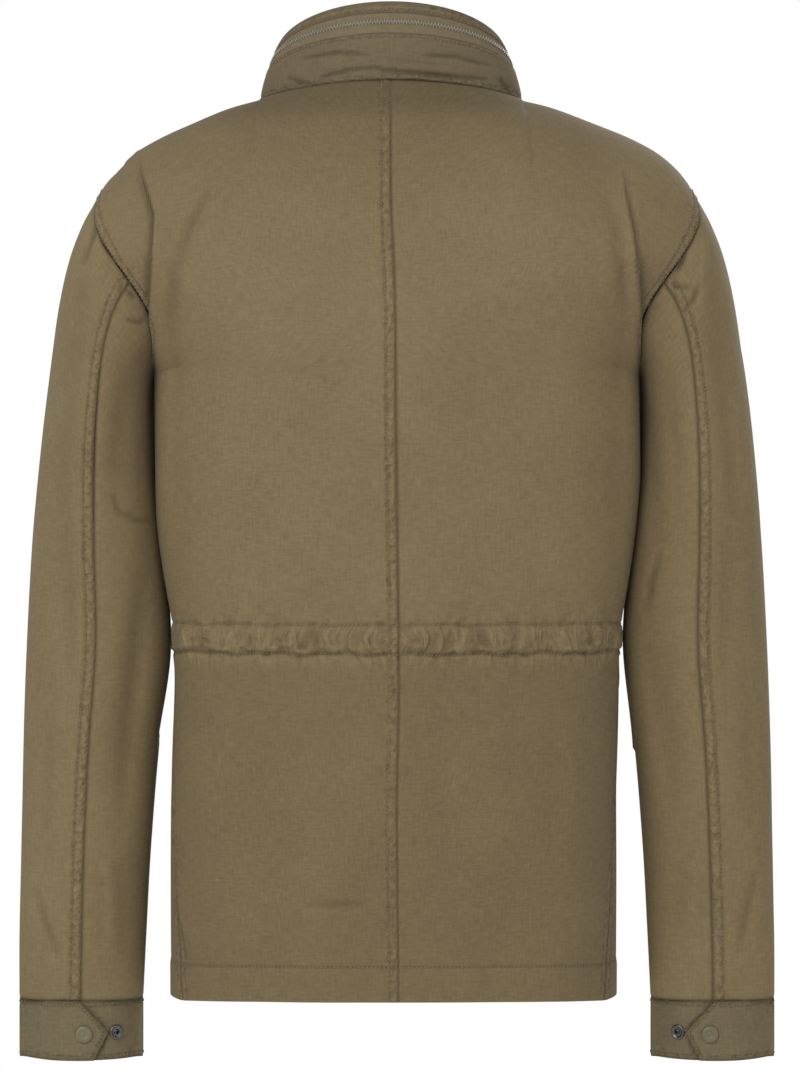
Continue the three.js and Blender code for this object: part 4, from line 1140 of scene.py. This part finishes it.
class StitchRows:
    """Collects stitch places from rows on cloth, for one piece of stitching."""

    def __init__(self, pitch):
        self.pitch = pitch
        self.points, self.along, self.out = [], [], []

    def follow(self, line, normals):
        """Stitches at even steps along a line on the cloth's surface."""
        steps = length(np.diff(line, axis=0))
        reach = np.concatenate([[0], np.cumsum(steps)])
        at = np.arange(self.pitch / 2, reach[-1] - self.pitch / 4, self.pitch)
        if len(at) < 1:
            return
        outs = unit(along_line(at, reach, normals))
        self.points.append(along_line(at, reach, line) + outs * STITCH_LIFT)
        self.along.append(unit(along_line(at + 0.8, reach, line) - along_line(at - 0.8, reach, line)))
        self.out.append(outs)

    def beside(self, piece, edge, distance, start=0):
        """A row of stitches at a distance from a seam, from one of the grid's lines on."""
        surface, normals, away = piece.outside(), piece.normals, piece.from_edge(edge)
        if edge in ("bottom", "top"):
            surface, normals, away = surface.swapaxes(0, 1), normals.swapaxes(0, 1), away.T
        if edge in ("last", "top"):
            surface, normals, away = surface[:, ::-1], normals[:, ::-1], away[:, ::-1]
        line, outs = [], []
        for points, turned, far in zip(surface[start:], normals[start:], away[start:]):
            i = int(np.clip(np.searchsorted(far, distance), 1, len(far) - 1))
            t = np.clip((distance - far[i - 1]) / max(far[i] - far[i - 1], 1e-6), 0, 1)
            line.append(lerp(points[i - 1], points[i], t))
            outs.append(lerp(turned[i - 1], turned[i], t))
        self.follow(np.array(line), unit(np.array(outs)))

    def at_height(self, piece, z):
        """A row of stitches along a body panel, by the height of each of its columns' side."""
        heights = piece.points[:, -1, 2]
        i = np.clip(np.searchsorted(heights, z), 1, len(heights) - 1)
        t = ((z - heights[i - 1]) / (heights[i] - heights[i - 1]))[:, None]
        surface, c = piece.outside(), np.arange(len(z))
        line = lerp(surface[i - 1, c], surface[i, c], t)
        self.follow(line, unit(lerp(piece.normals[i - 1, c], piece.normals[i, c], t)))

    def bar(self, piece, tack):
        """A dense bar of stitches across the last seam of a piece, each lying up and down."""
        surface = piece.outside()
        row = int(np.argmin(np.abs(surface[:, -1, 2] - tack["z"])))
        away = piece.from_edge("last")[row]
        order = np.argsort(away)
        at = np.arange(tack["start"], tack["stop"], tack["step"])
        outs = unit(along_line(at, away[order], piece.normals[row][order]))
        self.points.append(along_line(at, away[order], surface[row][order]) + outs * tack["lift"])
        self.along.append(np.broadcast_to(unit(surface[row + 1, -1] - surface[row - 1, -1]), outs.shape))
        self.out.append(outs)

    def build(self, name, colours, sizes):
        """Turns the collected places into one piece."""
        values = {"Length": sizes.stitch_length, "Thickness": sizes.thread_thickness,
                  "Unevenness": sizes.unevenness}
        return repeat(name, repeat_tree("Stitches", thread_shape), np.concatenate(self.points),
                      np.concatenate(self.along), np.concatenate(self.out), values,
                      thread_material("Sewing thread", colours.thread), "cloth")


PIECES = {}


def body_pieces():
    """The four body panels before their seams are shared."""
    for side_name, side in SIDES:
        for panel in (BACK, FRONT):
            columns = panel_columns(panel)
            points = np.stack([place(row(panel_shares(panel, row, side, columns)), side)
                               for row in panel_rows(panel)])
            inside = points * 0
            inside[..., 2] = np.minimum(points[..., 2], -150)
            piece = Cloth(f"{panel['name']}_{side_name}", points, inside, CLOTH)
            piece.relief = body_relief(panel, side, points, columns)
            PIECES[piece.name] = piece


def sleeve_pieces():
    """The top and under pieces of both sleeves."""
    back = (0, *YOKE_ANGLES[-2::-1], *RING_ANGLES[::-1], 180)
    around = (*back, *(360 - angle for angle in back[-2::-1]))
    turned = (*around, *(360 + angle for angle in around[1:]))
    rows = steps_between(SLEEVE["row"], SLEEVE_STEPS)
    spans = (("top", SLEEVE_FRONT_SEAM, 360 + SLEEVE_BACK_SEAM),
             ("under", SLEEVE_BACK_SEAM, SLEEVE_FRONT_SEAM))
    for side_name, side in SIDES:
        for piece_name, first, last in spans:
            marks = [angle for angle in turned if first <= angle <= last]
            angles = steps_between(marks, [9] + [5] * (len(marks) - 3) + [9])
            row, angle = np.meshgrid(rows, angles, indexing="ij")
            points = place(sleeve(row, angle), side)
            inside = place((sleeve(row, angle * 0) + sleeve(row, angle * 0 + 180)) / 2, side)
            piece = Cloth(f"sleeve_{side_name}_{piece_name}", points, inside, CLOTH)
            piece.relief = sleeve_relief(points, rows, angles, side)
            PIECES[piece.name] = piece


def cuff_pieces():
    """The two cuff bands, each with its pointed end."""
    levels = np.linspace(0, 1, CUFF_ROWS)
    for side_name, side in SIDES:
        band = np.broadcast_to(np.linspace(CUFF_START, LAP_TO, CUFF_COLUMNS), (CUFF_ROWS, CUFF_COLUMNS))
        share = np.linspace(0, 1, CUFF_ROWS)[1:]
        tip = LAP_TO + (cuff_end(levels)[:, None] - LAP_TO) * share
        angle = np.concatenate([band, tip], axis=1)
        level = np.broadcast_to(levels[:, None], angle.shape)
        points = place(cuff(angle, level), side)
        inside = place((cuff(angle * 0, level) + cuff(angle * 0 + 180, level)) / 2, side)
        PIECES[f"cuff_{side_name}"] = Cloth(f"cuff_{side_name}", points, inside, DOUBLE_CLOTH)


def neck_angles():
    """Angles of the neck seam at the columns of the back and front panels, for one side."""
    angles = []
    for panel in (BACK, FRONT):
        columns = panel_columns(panel)
        shares = panel_shares(panel, lambda s, p=panel: top_row(p, s), 1, columns)
        angles.append(90 * shares[columns <= panel["neck"]] / panel["neck_share"])
    return np.concatenate([angles[0], (180 - angles[1])[::-1][1:]])


def collar_pieces():
    """The three bands of the collar."""
    half = neck_angles()
    angles = np.concatenate([half[:0:-1], half])
    side = np.concatenate([-np.ones(len(half) - 1), np.ones(len(half))])
    for name, low, high, steps, wall, recess in COLLAR_BANDS:
        levels = np.linspace(low, high, steps + 1)
        points = np.stack([collar(angles, level) for level in levels])
        points[..., 0] = points[..., 0] * side + NECK_SHIFT
        inside = points * 0
        inside[..., 0] = NECK_SHIFT
        inside[..., 2] = points[..., 2]
        PIECES[name] = Cloth(name, points, inside, wall, recess)


def front_tape_pieces():
    """The two tapes of the front zip, from the hem up inside the collar."""
    tape = FRONT_TAPE
    across = np.linspace(tape["inner"], tape["outer"], tape["columns"])
    levels = np.linspace(tape["collar_from"], tape["collar_to"], tape["collar_rows"])
    plain = [row(share_at(row, across)) for row in panel_rows(FRONT)]
    for side_name, side in SIDES:
        body = [place(points, side) for points in plain]
        angles = 180 - np.degrees(np.arcsin(across / NECK["half"]))
        neck = [place_collar(collar(angles, level), side) for level in levels]
        points = np.stack(body + neck)
        inside = points * 0
        inside[..., 2] = points[..., 2]
        piece = Cloth(f"front_zip_tape_{side_name}", points, inside, TAPE)
        puff = CHANNEL_PUFF * in_channel(points[..., 2])
        gap = np.full(len(points), -SEAM_GAP - CLOTH)
        gap[len(body) - 1:] = -tape["collar_gap"] - DOUBLE_CLOTH
        piece.relief = puff + gap[:, None]
        PIECES[piece.name] = piece


def shape_all():
    """Works out every piece of cloth once, with its seams, laps and dents."""
    if PIECES:
        return
    body_pieces()
    sleeve_pieces()
    cuff_pieces()
    collar_pieces()
    front_tape_pieces()
    share_seam_normals(list(PIECES.values()))
    for piece in PIECES.values():
        piece.inset_border()
    for side_name, _ in SIDES:
        back, front = PIECES[f"back_{side_name}"], PIECES[f"front_{side_name}"]
        back.seam("first", 0.5, 1.2)
        for panel in (back, front):
            panel.seam("last", 0.9, 1.8)
            panel.lap("last", STITCH_AWAY["lap"])
            panel.seam("top", 0.6, 1.5)
            height = np.broadcast_to(panel.points[:, -1:, 2], panel.dark.shape)
            panel.detail += HEM_RISE * (1 - smoothstep(height, HEM_FOLD - 0.5, HEM_FOLD + 1.5))
            stitch = np.exp(-((height - HEM_FOLD - STITCH_AWAY["hem"]) / 1.3) ** 2)
            panel.detail -= 0.5 * stitch
            panel.dark = np.maximum(panel.dark, 0.7 * stitch)
            # Painted shade: the skirt below the waist channel is darker
            skirt = 1 - smoothstep(height, CHANNEL_LOW - 14, CHANNEL_LOW)
            panel.dark = np.maximum(panel.dark, 0.3 * skirt)
            for edge, shade in ((CHANNEL_LOW, 0.6), (CHANNEL_HIGH, 0.3)):
                away = height - channel_edge(panel.points[..., 0], edge)
                panel.dark = np.maximum(panel.dark, shade * np.exp(-(away / 1.5) ** 2))
        front.lap("first", STITCH_AWAY["zip"])
        top, under = (PIECES[f"sleeve_{side_name}_{name}"] for name in ("top", "under"))
        for piece in (top, under):
            piece.seam("first", 0.8, 1.4)
            piece.seam("last", 0.8, 1.4)
            piece.seam("bottom", 0.7, 1.5)
            piece.seam("top", 0.6, 1.4)
        top.lap("last", STITCH_AWAY["sleeve"])
        band = PIECES[f"cuff_{side_name}"]
        for edge in ("top", "bottom", "last"):
            band.seam(edge, 0.35, 1.0)
            band.lap(edge, STITCH_AWAY["cuff"], 0.1)
        for piece in (back, front):
            piece.gather = np.exp(-((piece.points[..., 2] - CHANNEL_MID + 3) / 17) ** 2)
        # Painted shadow at the foot of the sharp folds
        back.dark = np.maximum(back.dark, fold_shadow(back.points, BACK_CREASES))
        height = back.points[..., 2]
        # Painted shade on the upper back, darkest just under the collar
        shade_under_collar = 0.42 * smoothstep(height, -130, 2) + 0.36 * smoothstep(height, -34, -8)
        back.dark = np.maximum(back.dark, shade_under_collar)
        # Painted shade in the hollows of folds and creases
        for piece in (back, front, top, under):
            piece.dark = np.maximum(piece.dark, np.clip(hollows(piece.relief) * HOLLOW_SHADE, 0, 0.8))
    PIECES["back_left"].lap("first", STITCH_AWAY["centre"], 0.45)
    for name in ("collar_stand", "collar_top"):
        for edge in ("bottom", "top"):
            PIECES[name].seam(edge, 0.45, 1.2)
            PIECES[name].lap(edge, STITCH_AWAY["collar"], 0.1)
    stand = PIECES["collar_stand"]
    behind = smoothstep(stand.points[..., 1], 0, 20)
    stand.relief += crease_relief(stand.points, 1, COLLAR_CREASES) * behind
    # Painted shade on the back of the stand, under the collar's top and in its creases
    stand.dark = np.maximum(stand.dark, np.clip(0.32 + 2.2 * hollows(stand.relief), 0, 0.9) * behind)


def add_cloth(name, material):
    """One piece of cloth over its solid, with its flat cut as its UV map."""
    made = add_object(name + "_cloth", shell_mesh(PIECES[name]), material)
    finish_piece(made, "root", [name])
    return made


def lathe_mesh(name, profile, seat, normal, segments=40, inner_from=None):
    """A turned shape from radius and height pairs, standing on a seat along a normal."""
    turn = np.linspace(0, 2 * np.pi, segments, endpoint=False)
    side = unit(np.cross(normal, (0.0, 0.0, 1.0)))
    up = np.cross(normal, side)
    vertices = [seat + normal * profile[0][1]]
    for radius, height in profile[1:-1]:
        ring = side * np.cos(turn)[:, None] + up * np.sin(turn)[:, None]
        vertices.extend(seat + normal * height + ring * radius)
    vertices.append(seat + normal * profile[-1][1])
    faces, marks = [], []
    rings = len(profile) - 2
    for i in range(segments):
        j = (i + 1) % segments
        faces.append((0, 1 + i, 1 + j))
        marks.append(0)
        for r in range(rings - 1):
            low, high = 1 + r * segments, 1 + (r + 1) * segments
            faces.append((low + i, high + i, high + j, low + j))
            marks.append(r + 1)
        last = 1 + (rings - 1) * segments
        faces.append((last + i, len(vertices) - 1, last + j))
        marks.append(rings)
    mesh = bpy.data.meshes.new(name)
    mesh.from_pydata((np.array(vertices) * MM).tolist(), [], faces)
    if inner_from is not None:
        mesh.polygons.foreach_set("material_index", [int(m < inner_from) for m in marks])
    tidy = bmesh.new()
    tidy.from_mesh(mesh)
    bmesh.ops.recalc_face_normals(tidy, faces=tidy.faces)
    tidy.to_mesh(mesh)
    tidy.free()
    mesh.shade_smooth()
    mesh.set_sharp_from_angle(angle=math.radians(50))
    return mesh


def snap_seat(snap, side):
    """Where a snap part stands on the cuff, and the cuff's normal there."""
    seat = place(cuff(np.array(float(snap["angle"])), snap["level"]), side)
    beside = place(cuff(np.array(snap["angle"] + 1.0), snap["level"]), side)
    normal = unit(np.cross(beside - seat, (0.0, 0.0, side)))
    return seat + normal * SEAM_GAP, normal


# Radius and height from the top's middle round to the seat's middle
CAP_PROFILE = (
    (0, 1.62), (1.1, 1.6), (1.7, 1.5), (2.0, 1.36), (2.3, 1.5), (3.4, 1.78), (4.5, 1.92), (5.1, 1.9),
    (5.3, 1.74), (5.5, 1.72), (5.8, 1.66), (6.2, 1.36), (6.5, 0.9), (6.6, 0.5), (6.3, 0.12), (6.1, 0),
    (0, 0),
)
STUD_PROFILE = (
    (0, 0.5), (1.0, 0.5), (1.35, 0.55), (1.4, 2.35), (1.6, 2.58), (1.95, 2.55), (2.2, 2.3), (2.25, 1.5),
    (2.4, 1.0), (3.0, 0.85), (3.6, 0.9), (4.1, 1.2), (4.7, 1.42), (5.3, 1.25), (5.65, 0.8), (5.7, 0.45),
    (5.4, 0.05), (5.3, 0), (0, 0),
)


def refined_metal(node_name, body, material):
    """A zip part as its solid, with its edges rounded over."""
    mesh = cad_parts[node_name].data.copy()
    mesh.materials.clear()
    tidy = bmesh.new()
    tidy.from_mesh(mesh)
    bmesh.ops.remove_doubles(tidy, verts=tidy.verts, dist=2e-6)
    bmesh.ops.dissolve_limit(tidy, angle_limit=math.radians(2), verts=tidy.verts, edges=tidy.edges)
    bmesh.ops.recalc_face_normals(tidy, faces=tidy.faces)
    tidy.to_mesh(mesh)
    tidy.free()
    made = add_object(node_name + "_metal", mesh, material)
    bevel = made.modifiers.new("rounded", "BEVEL")
    bevel.width = METAL_BEVEL
    bevel.segments = 3
    bevel.limit_method = "ANGLE"
    bevel.angle_limit = math.radians(35)
    bpy.context.view_layer.update()
    plain = bpy.data.meshes.new_from_object(made.evaluated_get(bpy.context.evaluated_depsgraph_get()))
    made.modifiers.remove(bevel)
    made.data = plain
    plain.shade_smooth()
    plain.set_sharp_from_angle(angle=math.radians(40))
    return finish_piece(made, body, [node_name])


def tooth_rows(line, normals):
    """Points, along and out vectors of two meshing rows of teeth on one line."""
    pitch = bpy.context.scene.jacket_sizes.tooth_pitch * 1000
    reach = np.concatenate([[0], np.cumsum(length(np.diff(line, axis=0)))])
    rows = []
    for turn in (1, -1):
        at = np.arange(pitch * (0.5 if turn > 0 else 1.0), reach[-1], pitch)
        outs = unit(along_line(at, reach, normals))
        along = unit(along_line(at + 1, reach, line) - along_line(at - 1, reach, line)) * turn
        heads = np.cross(outs, along)
        places = along_line(at, reach, line) - heads * TOOTH_OFFSET + outs * TOOTH_LIFT
        rows.append((places, along, outs))
    return [np.concatenate(parts) for parts in zip(*rows)]


def colour_property(name, description, default):
    """A colour that a user can change."""
    return bpy.props.FloatVectorProperty(name=name, description=description, subtype="COLOR", size=4,
                                         min=0, max=1, default=(*default, 1))


def length_property(name, description, default):
    """A length in metres that a user can change."""
    return bpy.props.FloatProperty(name=name, description=description, default=default, min=0,
                                   subtype="DISTANCE", unit="LENGTH", precision=5)


class JacketColours(bpy.types.PropertyGroup):
    """Dyes, paint and platings of the jacket."""

    cloth: colour_property("Cloth", "Dye of the body and the sleeves", (0.209, 0.159, 0.084))
    collar: colour_property("Collar", "Dye of the collar, which is a little darker", (0.186, 0.145, 0.086))
    cuff: colour_property("Cuffs", "Dye of the cuffs, which is a little darker", (0.172, 0.137, 0.078))
    tape: colour_property("Zip tape", "Dye of the woven zip tapes", (0.185, 0.145, 0.088))
    thread: colour_property("Thread", "Dye of the sewing thread", (0.205, 0.16, 0.096))
    metal: colour_property("Zip metal", "Plating of the zips", (0.46, 0.44, 0.4))
    stud: colour_property("Stud metal", "Darkened plating of the snap studs", (0.13, 0.13, 0.135))
    cap: colour_property("Snap cap", "Paint of the snap caps", (0.16, 0.145, 0.085))


class JacketSizes(bpy.types.PropertyGroup):
    """Sizes of the stitches and the zip teeth."""

    stitch_pitch: length_property("Stitch pitch", "From one stitch to the next", 0.0031)
    stitch_length: length_property("Stitch length", "Thread that shows of one stitch", 0.0019)
    thread_thickness: length_property("Thread thickness", "Width of the sewing thread", 0.0008)
    unevenness: bpy.props.FloatProperty(name="Unevenness", description="How much stitches differ in size",
                                        default=0.14, min=0, max=0.5, subtype="FACTOR")
    tooth_pitch: length_property("Tooth pitch", "From one tooth of a zip row to the next", 0.0026)
    tooth_length: length_property("Tooth length", "A zip tooth across the zip", 0.0022)
    tooth_thickness: length_property("Tooth thickness", "A zip tooth along the zip", 0.00062)


class JacketStage(bpy.types.PropertyGroup):
    """The floor and the lights around the jacket."""

    floor: colour_property("Floor", "Colour of the floor", (0.82, 0.81, 0.79))
    floor_height: length_property("Neck above floor", "How high the wearer's neck is", 1.45)
    around: bpy.props.FloatProperty(name="Light all round", description="Strength of the even light",
                                    default=0.5, min=0)
    key: bpy.props.FloatProperty(name="Key light", description="Power of the large light",
                                 default=68, min=0, subtype="POWER", unit="POWER")
    fill: bpy.props.FloatProperty(name="Fill light", description="Power of the light on the right",
                                  default=16, min=0, subtype="POWER", unit="POWER")


class JacketOperator:
    """What the jacket's operators have in common."""

    bl_options = {"REGISTER", "UNDO"}

    def execute(self, context):
        shape_all()
        self.build(context.scene.jacket_colours, context.scene.jacket_sizes)
        return {"FINISHED"}


class JACKET_OT_body(JacketOperator, bpy.types.Operator):
    """Add the four body panels, gathered at the waist channel"""

    bl_idname = "jacket.add_body"
    bl_label = "Body panels"

    def build(self, colours, sizes):
        material = cloth_material("Cotton", colours.cloth)
        for side_name, _ in SIDES:
            for panel in ("back", "front"):
                add_cloth(f"{panel}_{side_name}", material)


class JACKET_OT_sleeves(JacketOperator, bpy.types.Operator):
    """Add the two-piece sleeves"""

    bl_idname = "jacket.add_sleeves"
    bl_label = "Sleeves"

    def build(self, colours, sizes):
        material = cloth_material("Cotton", colours.cloth)
        for side_name, _ in SIDES:
            for part in ("top", "under"):
                add_cloth(f"sleeve_{side_name}_{part}", material)


class JACKET_OT_cuffs(JacketOperator, bpy.types.Operator):
    """Add the cuff bands with their pointed ends"""

    bl_idname = "jacket.add_cuffs"
    bl_label = "Cuffs"

    def build(self, colours, sizes):
        material = cloth_material("Cotton of the cuffs", colours.cuff, streaks=0.36, bump=0.16)
        for side_name, _ in SIDES:
            add_cloth(f"cuff_{side_name}", material)


class JACKET_OT_collar(JacketOperator, bpy.types.Operator):
    """Add the stand collar in its three bands"""

    bl_idname = "jacket.add_collar"
    bl_label = "Collar"

    def build(self, colours, sizes):
        cloth = cloth_material("Cotton of the collar", colours.collar)
        tape = tape_material(colours)
        add_cloth("collar_stand", cloth)
        add_cloth("collar_zip_tape", tape)
        add_cloth("collar_top", cloth)


class JACKET_OT_front_tapes(JacketOperator, bpy.types.Operator):
    """Add the two tapes of the front zip"""

    bl_idname = "jacket.add_front_tapes"
    bl_label = "Front zip tapes"

    def build(self, colours, sizes):
        tape = tape_material(colours)
        for side_name, _ in SIDES:
            add_cloth(f"front_zip_tape_{side_name}", tape)


class JACKET_OT_snaps(JacketOperator, bpy.types.Operator):
    """Add the caps and studs of the cuff snaps"""

    bl_idname = "jacket.add_snaps"
    bl_label = "Cuff snaps"

    def build(self, colours, sizes):
        cap = hard_material("Painted cap", colours.cap, 0.25, 0.42, 0.5)
        metal = hard_material("Darkened plating", colours.stud, 0.95, 0.22, 0.35)
        # The inside of each stud's hollow post is near-black
        hollow = hard_material("Tarnished hollow", (0.03, 0.03, 0.035, 1), 0.6, 0.5, 0.4)
        for side_name, side in SIDES:
            name = f"cuff_{side_name}_snap_cap"
            mesh = lathe_mesh(name, CAP_PROFILE, *snap_seat(SNAP_CAP, side))
            finish_piece(add_object(name + "_metal", mesh, cap), "root", [name])
            name = f"cuff_{side_name}_snap_stud"
            mesh = lathe_mesh(name, STUD_PROFILE, *snap_seat(SNAP_STUD, side), inner_from=3)
            finish_piece(add_object(name + "_metal", mesh, metal, hollow), "root", [name])


class JACKET_OT_stitching(JacketOperator, bpy.types.Operator):
    """Add the rows of stitches on the body, sleeves, cuffs and collar"""

    bl_idname = "jacket.add_stitching"
    bl_label = "Stitching"

    def build(self, colours, sizes):
        pitch = sizes.stitch_pitch * 1000
        first_ring = sum(LOWER_STEPS) + 2
        channel_row = sum(LOWER_STEPS[:LOWER_ROWS.index(CHANNEL_MID)])
        for panel in ("back", "front"):
            rows = StitchRows(pitch)
            for side_name, _ in SIDES:
                piece = PIECES[f"{panel}_{side_name}"]
                for name in ("edge", "lap"):
                    rows.beside(piece, "last", STITCH_AWAY[name], first_ring)
                x = piece.points[channel_row, :, 0]
                rows.at_height(piece, x * 0 + HEM_FOLD + STITCH_AWAY["hem"])
                for edge in (CHANNEL_LOW, CHANNEL_HIGH):
                    rows.at_height(piece, channel_edge(x, edge))
                if panel == "front":
                    rows.beside(piece, "first", STITCH_AWAY["zip"])
            if panel == "back":
                rows.beside(PIECES["back_left"], "first", STITCH_AWAY["centre"])
            rows.build(f"{panel}_stitching", colours, sizes)
        rows = StitchRows(pitch)
        for side_name, _ in SIDES:
            top = PIECES[f"sleeve_{side_name}_top"]
            rows.beside(top, "last", STITCH_AWAY["sleeve"])
            rows.bar(top, BAR_TACK)
        rows.build("sleeve_stitching", colours, sizes)
        rows = StitchRows(pitch)
        for side_name, _ in SIDES:
            band = PIECES[f"cuff_{side_name}"]
            for edge in ("top", "bottom", "last"):
                rows.beside(band, edge, STITCH_AWAY["cuff"])
        rows.build("cuff_stitching", colours, sizes)
        rows = StitchRows(pitch)
        rows.beside(PIECES["collar_stand"], "top", STITCH_AWAY["collar"])
        rows.beside(PIECES["collar_top"], "bottom", STITCH_AWAY["collar"])
        rows.build("collar_stitching", colours, sizes)


class JACKET_OT_zip_teeth(JacketOperator, bpy.types.Operator):
    """Add the teeth of the collar zip and of the front zip"""

    bl_idname = "jacket.add_zip_teeth"
    bl_label = "Zip teeth"

    def build(self, colours, sizes):
        metal = hard_material("Plated teeth", colours.metal, 0.9, 0.34, 0.3)
        tree = repeat_tree("Zip teeth", tooth_shape)
        values = {"Length": sizes.tooth_length, "Thickness": sizes.tooth_thickness, "Unevenness": 0.04}
        tape = PIECES["collar_zip_tape"]
        middle = tape.points.shape[0] // 2
        line, normals = tape.outside()[middle], tape.normals[middle]
        shown = line[:, 1] > COLLAR_TEETH_FRONT
        repeat("collar_zip_teeth", tree, *tooth_rows(line[shown], normals[shown]), values, metal,
               "zip_metal")
        left = PIECES["front_zip_tape_left"]
        line, normals = left.outside()[2:, 0].copy(), left.normals[2:, 0]
        line[:, 0] = (left.outside()[2:, 0, 0] + PIECES["front_zip_tape_right"].outside()[2:, 0, 0]) / 2
        repeat("front_zip_teeth", tree, *tooth_rows(line, normals * (0, 1, 1)), values, metal,
               "zip_metal")


class JACKET_OT_sliders(JacketOperator, bpy.types.Operator):
    """Add the sliders and pulls of both zips"""

    bl_idname = "jacket.add_sliders"
    bl_label = "Zip sliders and pulls"

    def build(self, colours, sizes):
        metal = hard_material("Plated metal", colours.metal, 0.95, 0.3, 0.25)
        refined_metal("front_zip_slider", "root", metal)
        refined_metal("collar_zip_slider", "root", metal)
        refined_metal("front_zip_pull", "front_pull", metal)
        refined_metal("collar_zip_pull", "collar_pull", metal)


class JACKET_OT_stage(bpy.types.Operator):
    """Add the floor, the lights and the camera"""

    bl_idname = "jacket.add_stage"
    bl_label = "Stage"
    bl_options = {"REGISTER", "UNDO"}

    def execute(self, context):
        settings = context.scene.jacket_stage
        add_floor(settings)
        add_world(settings)
        for name, place, size, power in LIGHTS:
            add_light(name, place, size, getattr(settings, power))
        add_camera(context.scene)
        return {"FINISHED"}


def add_floor(settings):
    """A pale round floor with a faint mottle."""
    turn = np.linspace(0, 2 * np.pi, FLOOR_SIDES, endpoint=False)
    height = -settings.floor_height
    ring = [(FLOOR_RADIUS * math.cos(t), FLOOR_RADIUS * math.sin(t), height) for t in turn]
    mesh = bpy.data.meshes.new("floor")
    mesh.from_pydata(ring, [], [tuple(range(FLOOR_SIDES))])
    made, tree, shader = new_material("Pale floor")
    place = node(tree, "ShaderNodeTexCoord").outputs["Object"]
    mottle = node(tree, "ShaderNodeTexNoise", {"Scale": 3.0, "Detail": 3.0}, {"Vector": place})
    dark = tuple(0.96 * c for c in settings.floor[:3]) + (1,)
    mixed = node(tree, "ShaderNodeMix", {"A": dark, "B": tuple(settings.floor)},
                 {"Factor": mottle.outputs[0]}, data_type="RGBA")
    tree.links.new(mixed.outputs["Result"], shader.inputs["Base Color"])
    shader.inputs["Roughness"].default_value = 0.85
    add_object("floor", mesh, made)


def add_world(settings):
    """An even white room, seen white and lighting the cloth a little less."""
    world = bpy.data.worlds.new("studio")
    bpy.context.scene.world = world
    world.use_nodes = True
    tree = world.node_tree
    backdrop = tree.nodes["Background"]
    backdrop.inputs["Color"].default_value = (1, 1, 1, 1)
    direct = node(tree, "ShaderNodeLightPath").outputs["Is Camera Ray"]
    strength = node(tree, "ShaderNodeMapRange", {"To Min": settings.around, "To Max": 1.0},
                    {"Value": direct})
    tree.links.new(strength.outputs[0], backdrop.inputs["Strength"])


def add_light(name, place, size, power):
    """A large square light aimed at the chest."""
    data = bpy.data.lights.new(name, "AREA")
    data.size = size
    data.energy = power
    made = bpy.data.objects.new(name, data)
    made.location = place
    made.rotation_euler = (Vector(LIGHTS_AIM) - Vector(place)).to_track_quat("-Z", "Y").to_euler()
    bpy.context.scene.collection.objects.link(made)


def add_camera(scene):
    """A level camera behind the jacket, with a narrow lens."""
    data = bpy.data.cameras.new("view")
    data.lens = LENS
    data.sensor_width = 36
    made = bpy.data.objects.new("view", data)
    made.location = [value * MM for value in CAMERA]
    made.rotation_euler = (math.radians(90), 0, math.radians(180))
    scene.collection.objects.link(made)
    scene.camera = made
    scene.view_settings.view_transform = "Standard"


OPERATORS = (JACKET_OT_body, JACKET_OT_sleeves, JACKET_OT_cuffs, JACKET_OT_collar, JACKET_OT_front_tapes,
             JACKET_OT_snaps, JACKET_OT_stitching, JACKET_OT_zip_teeth, JACKET_OT_sliders,
             JACKET_OT_stage)


class JACKET_PT_panel(bpy.types.Panel):
    """Colours, sizes and steps of the jacket"""

    bl_idname = "JACKET_PT_panel"
    bl_label = "Jacket"
    bl_space_type = "VIEW_3D"
    bl_region_type = "UI"
    bl_category = "Jacket"

    def draw(self, context):
        scene = context.scene
        for group in (scene.jacket_colours, scene.jacket_sizes, scene.jacket_stage):
            box = self.layout.box()
            for name in group.__annotations__:
                box.prop(group, name)
        for operator in OPERATORS:
            self.layout.operator(operator.bl_idname)


GROUPS = {"jacket_colours": JacketColours, "jacket_sizes": JacketSizes, "jacket_stage": JacketStage}


def register():
    """Makes the jacket's settings, operators and panel known."""
    for item in (*GROUPS.values(), *OPERATORS, JACKET_PT_panel):
        bpy.utils.register_class(item)
    for name, group in GROUPS.items():
        setattr(bpy.types.Scene, name, bpy.props.PointerProperty(type=group))


def unregister():
    """Takes the settings, operators and panel away again."""
    for name in GROUPS:
        delattr(bpy.types.Scene, name)
    for item in reversed((*GROUPS.values(), *OPERATORS, JACKET_PT_panel)):
        bpy.utils.unregister_class(item)


def main():
    """Builds the dressed jacket and its stage."""
    register()
    for operator in OPERATORS:
        getattr(bpy.ops.jacket, operator.bl_idname.split(".")[1])()


if __name__ == "__main__":
    main()
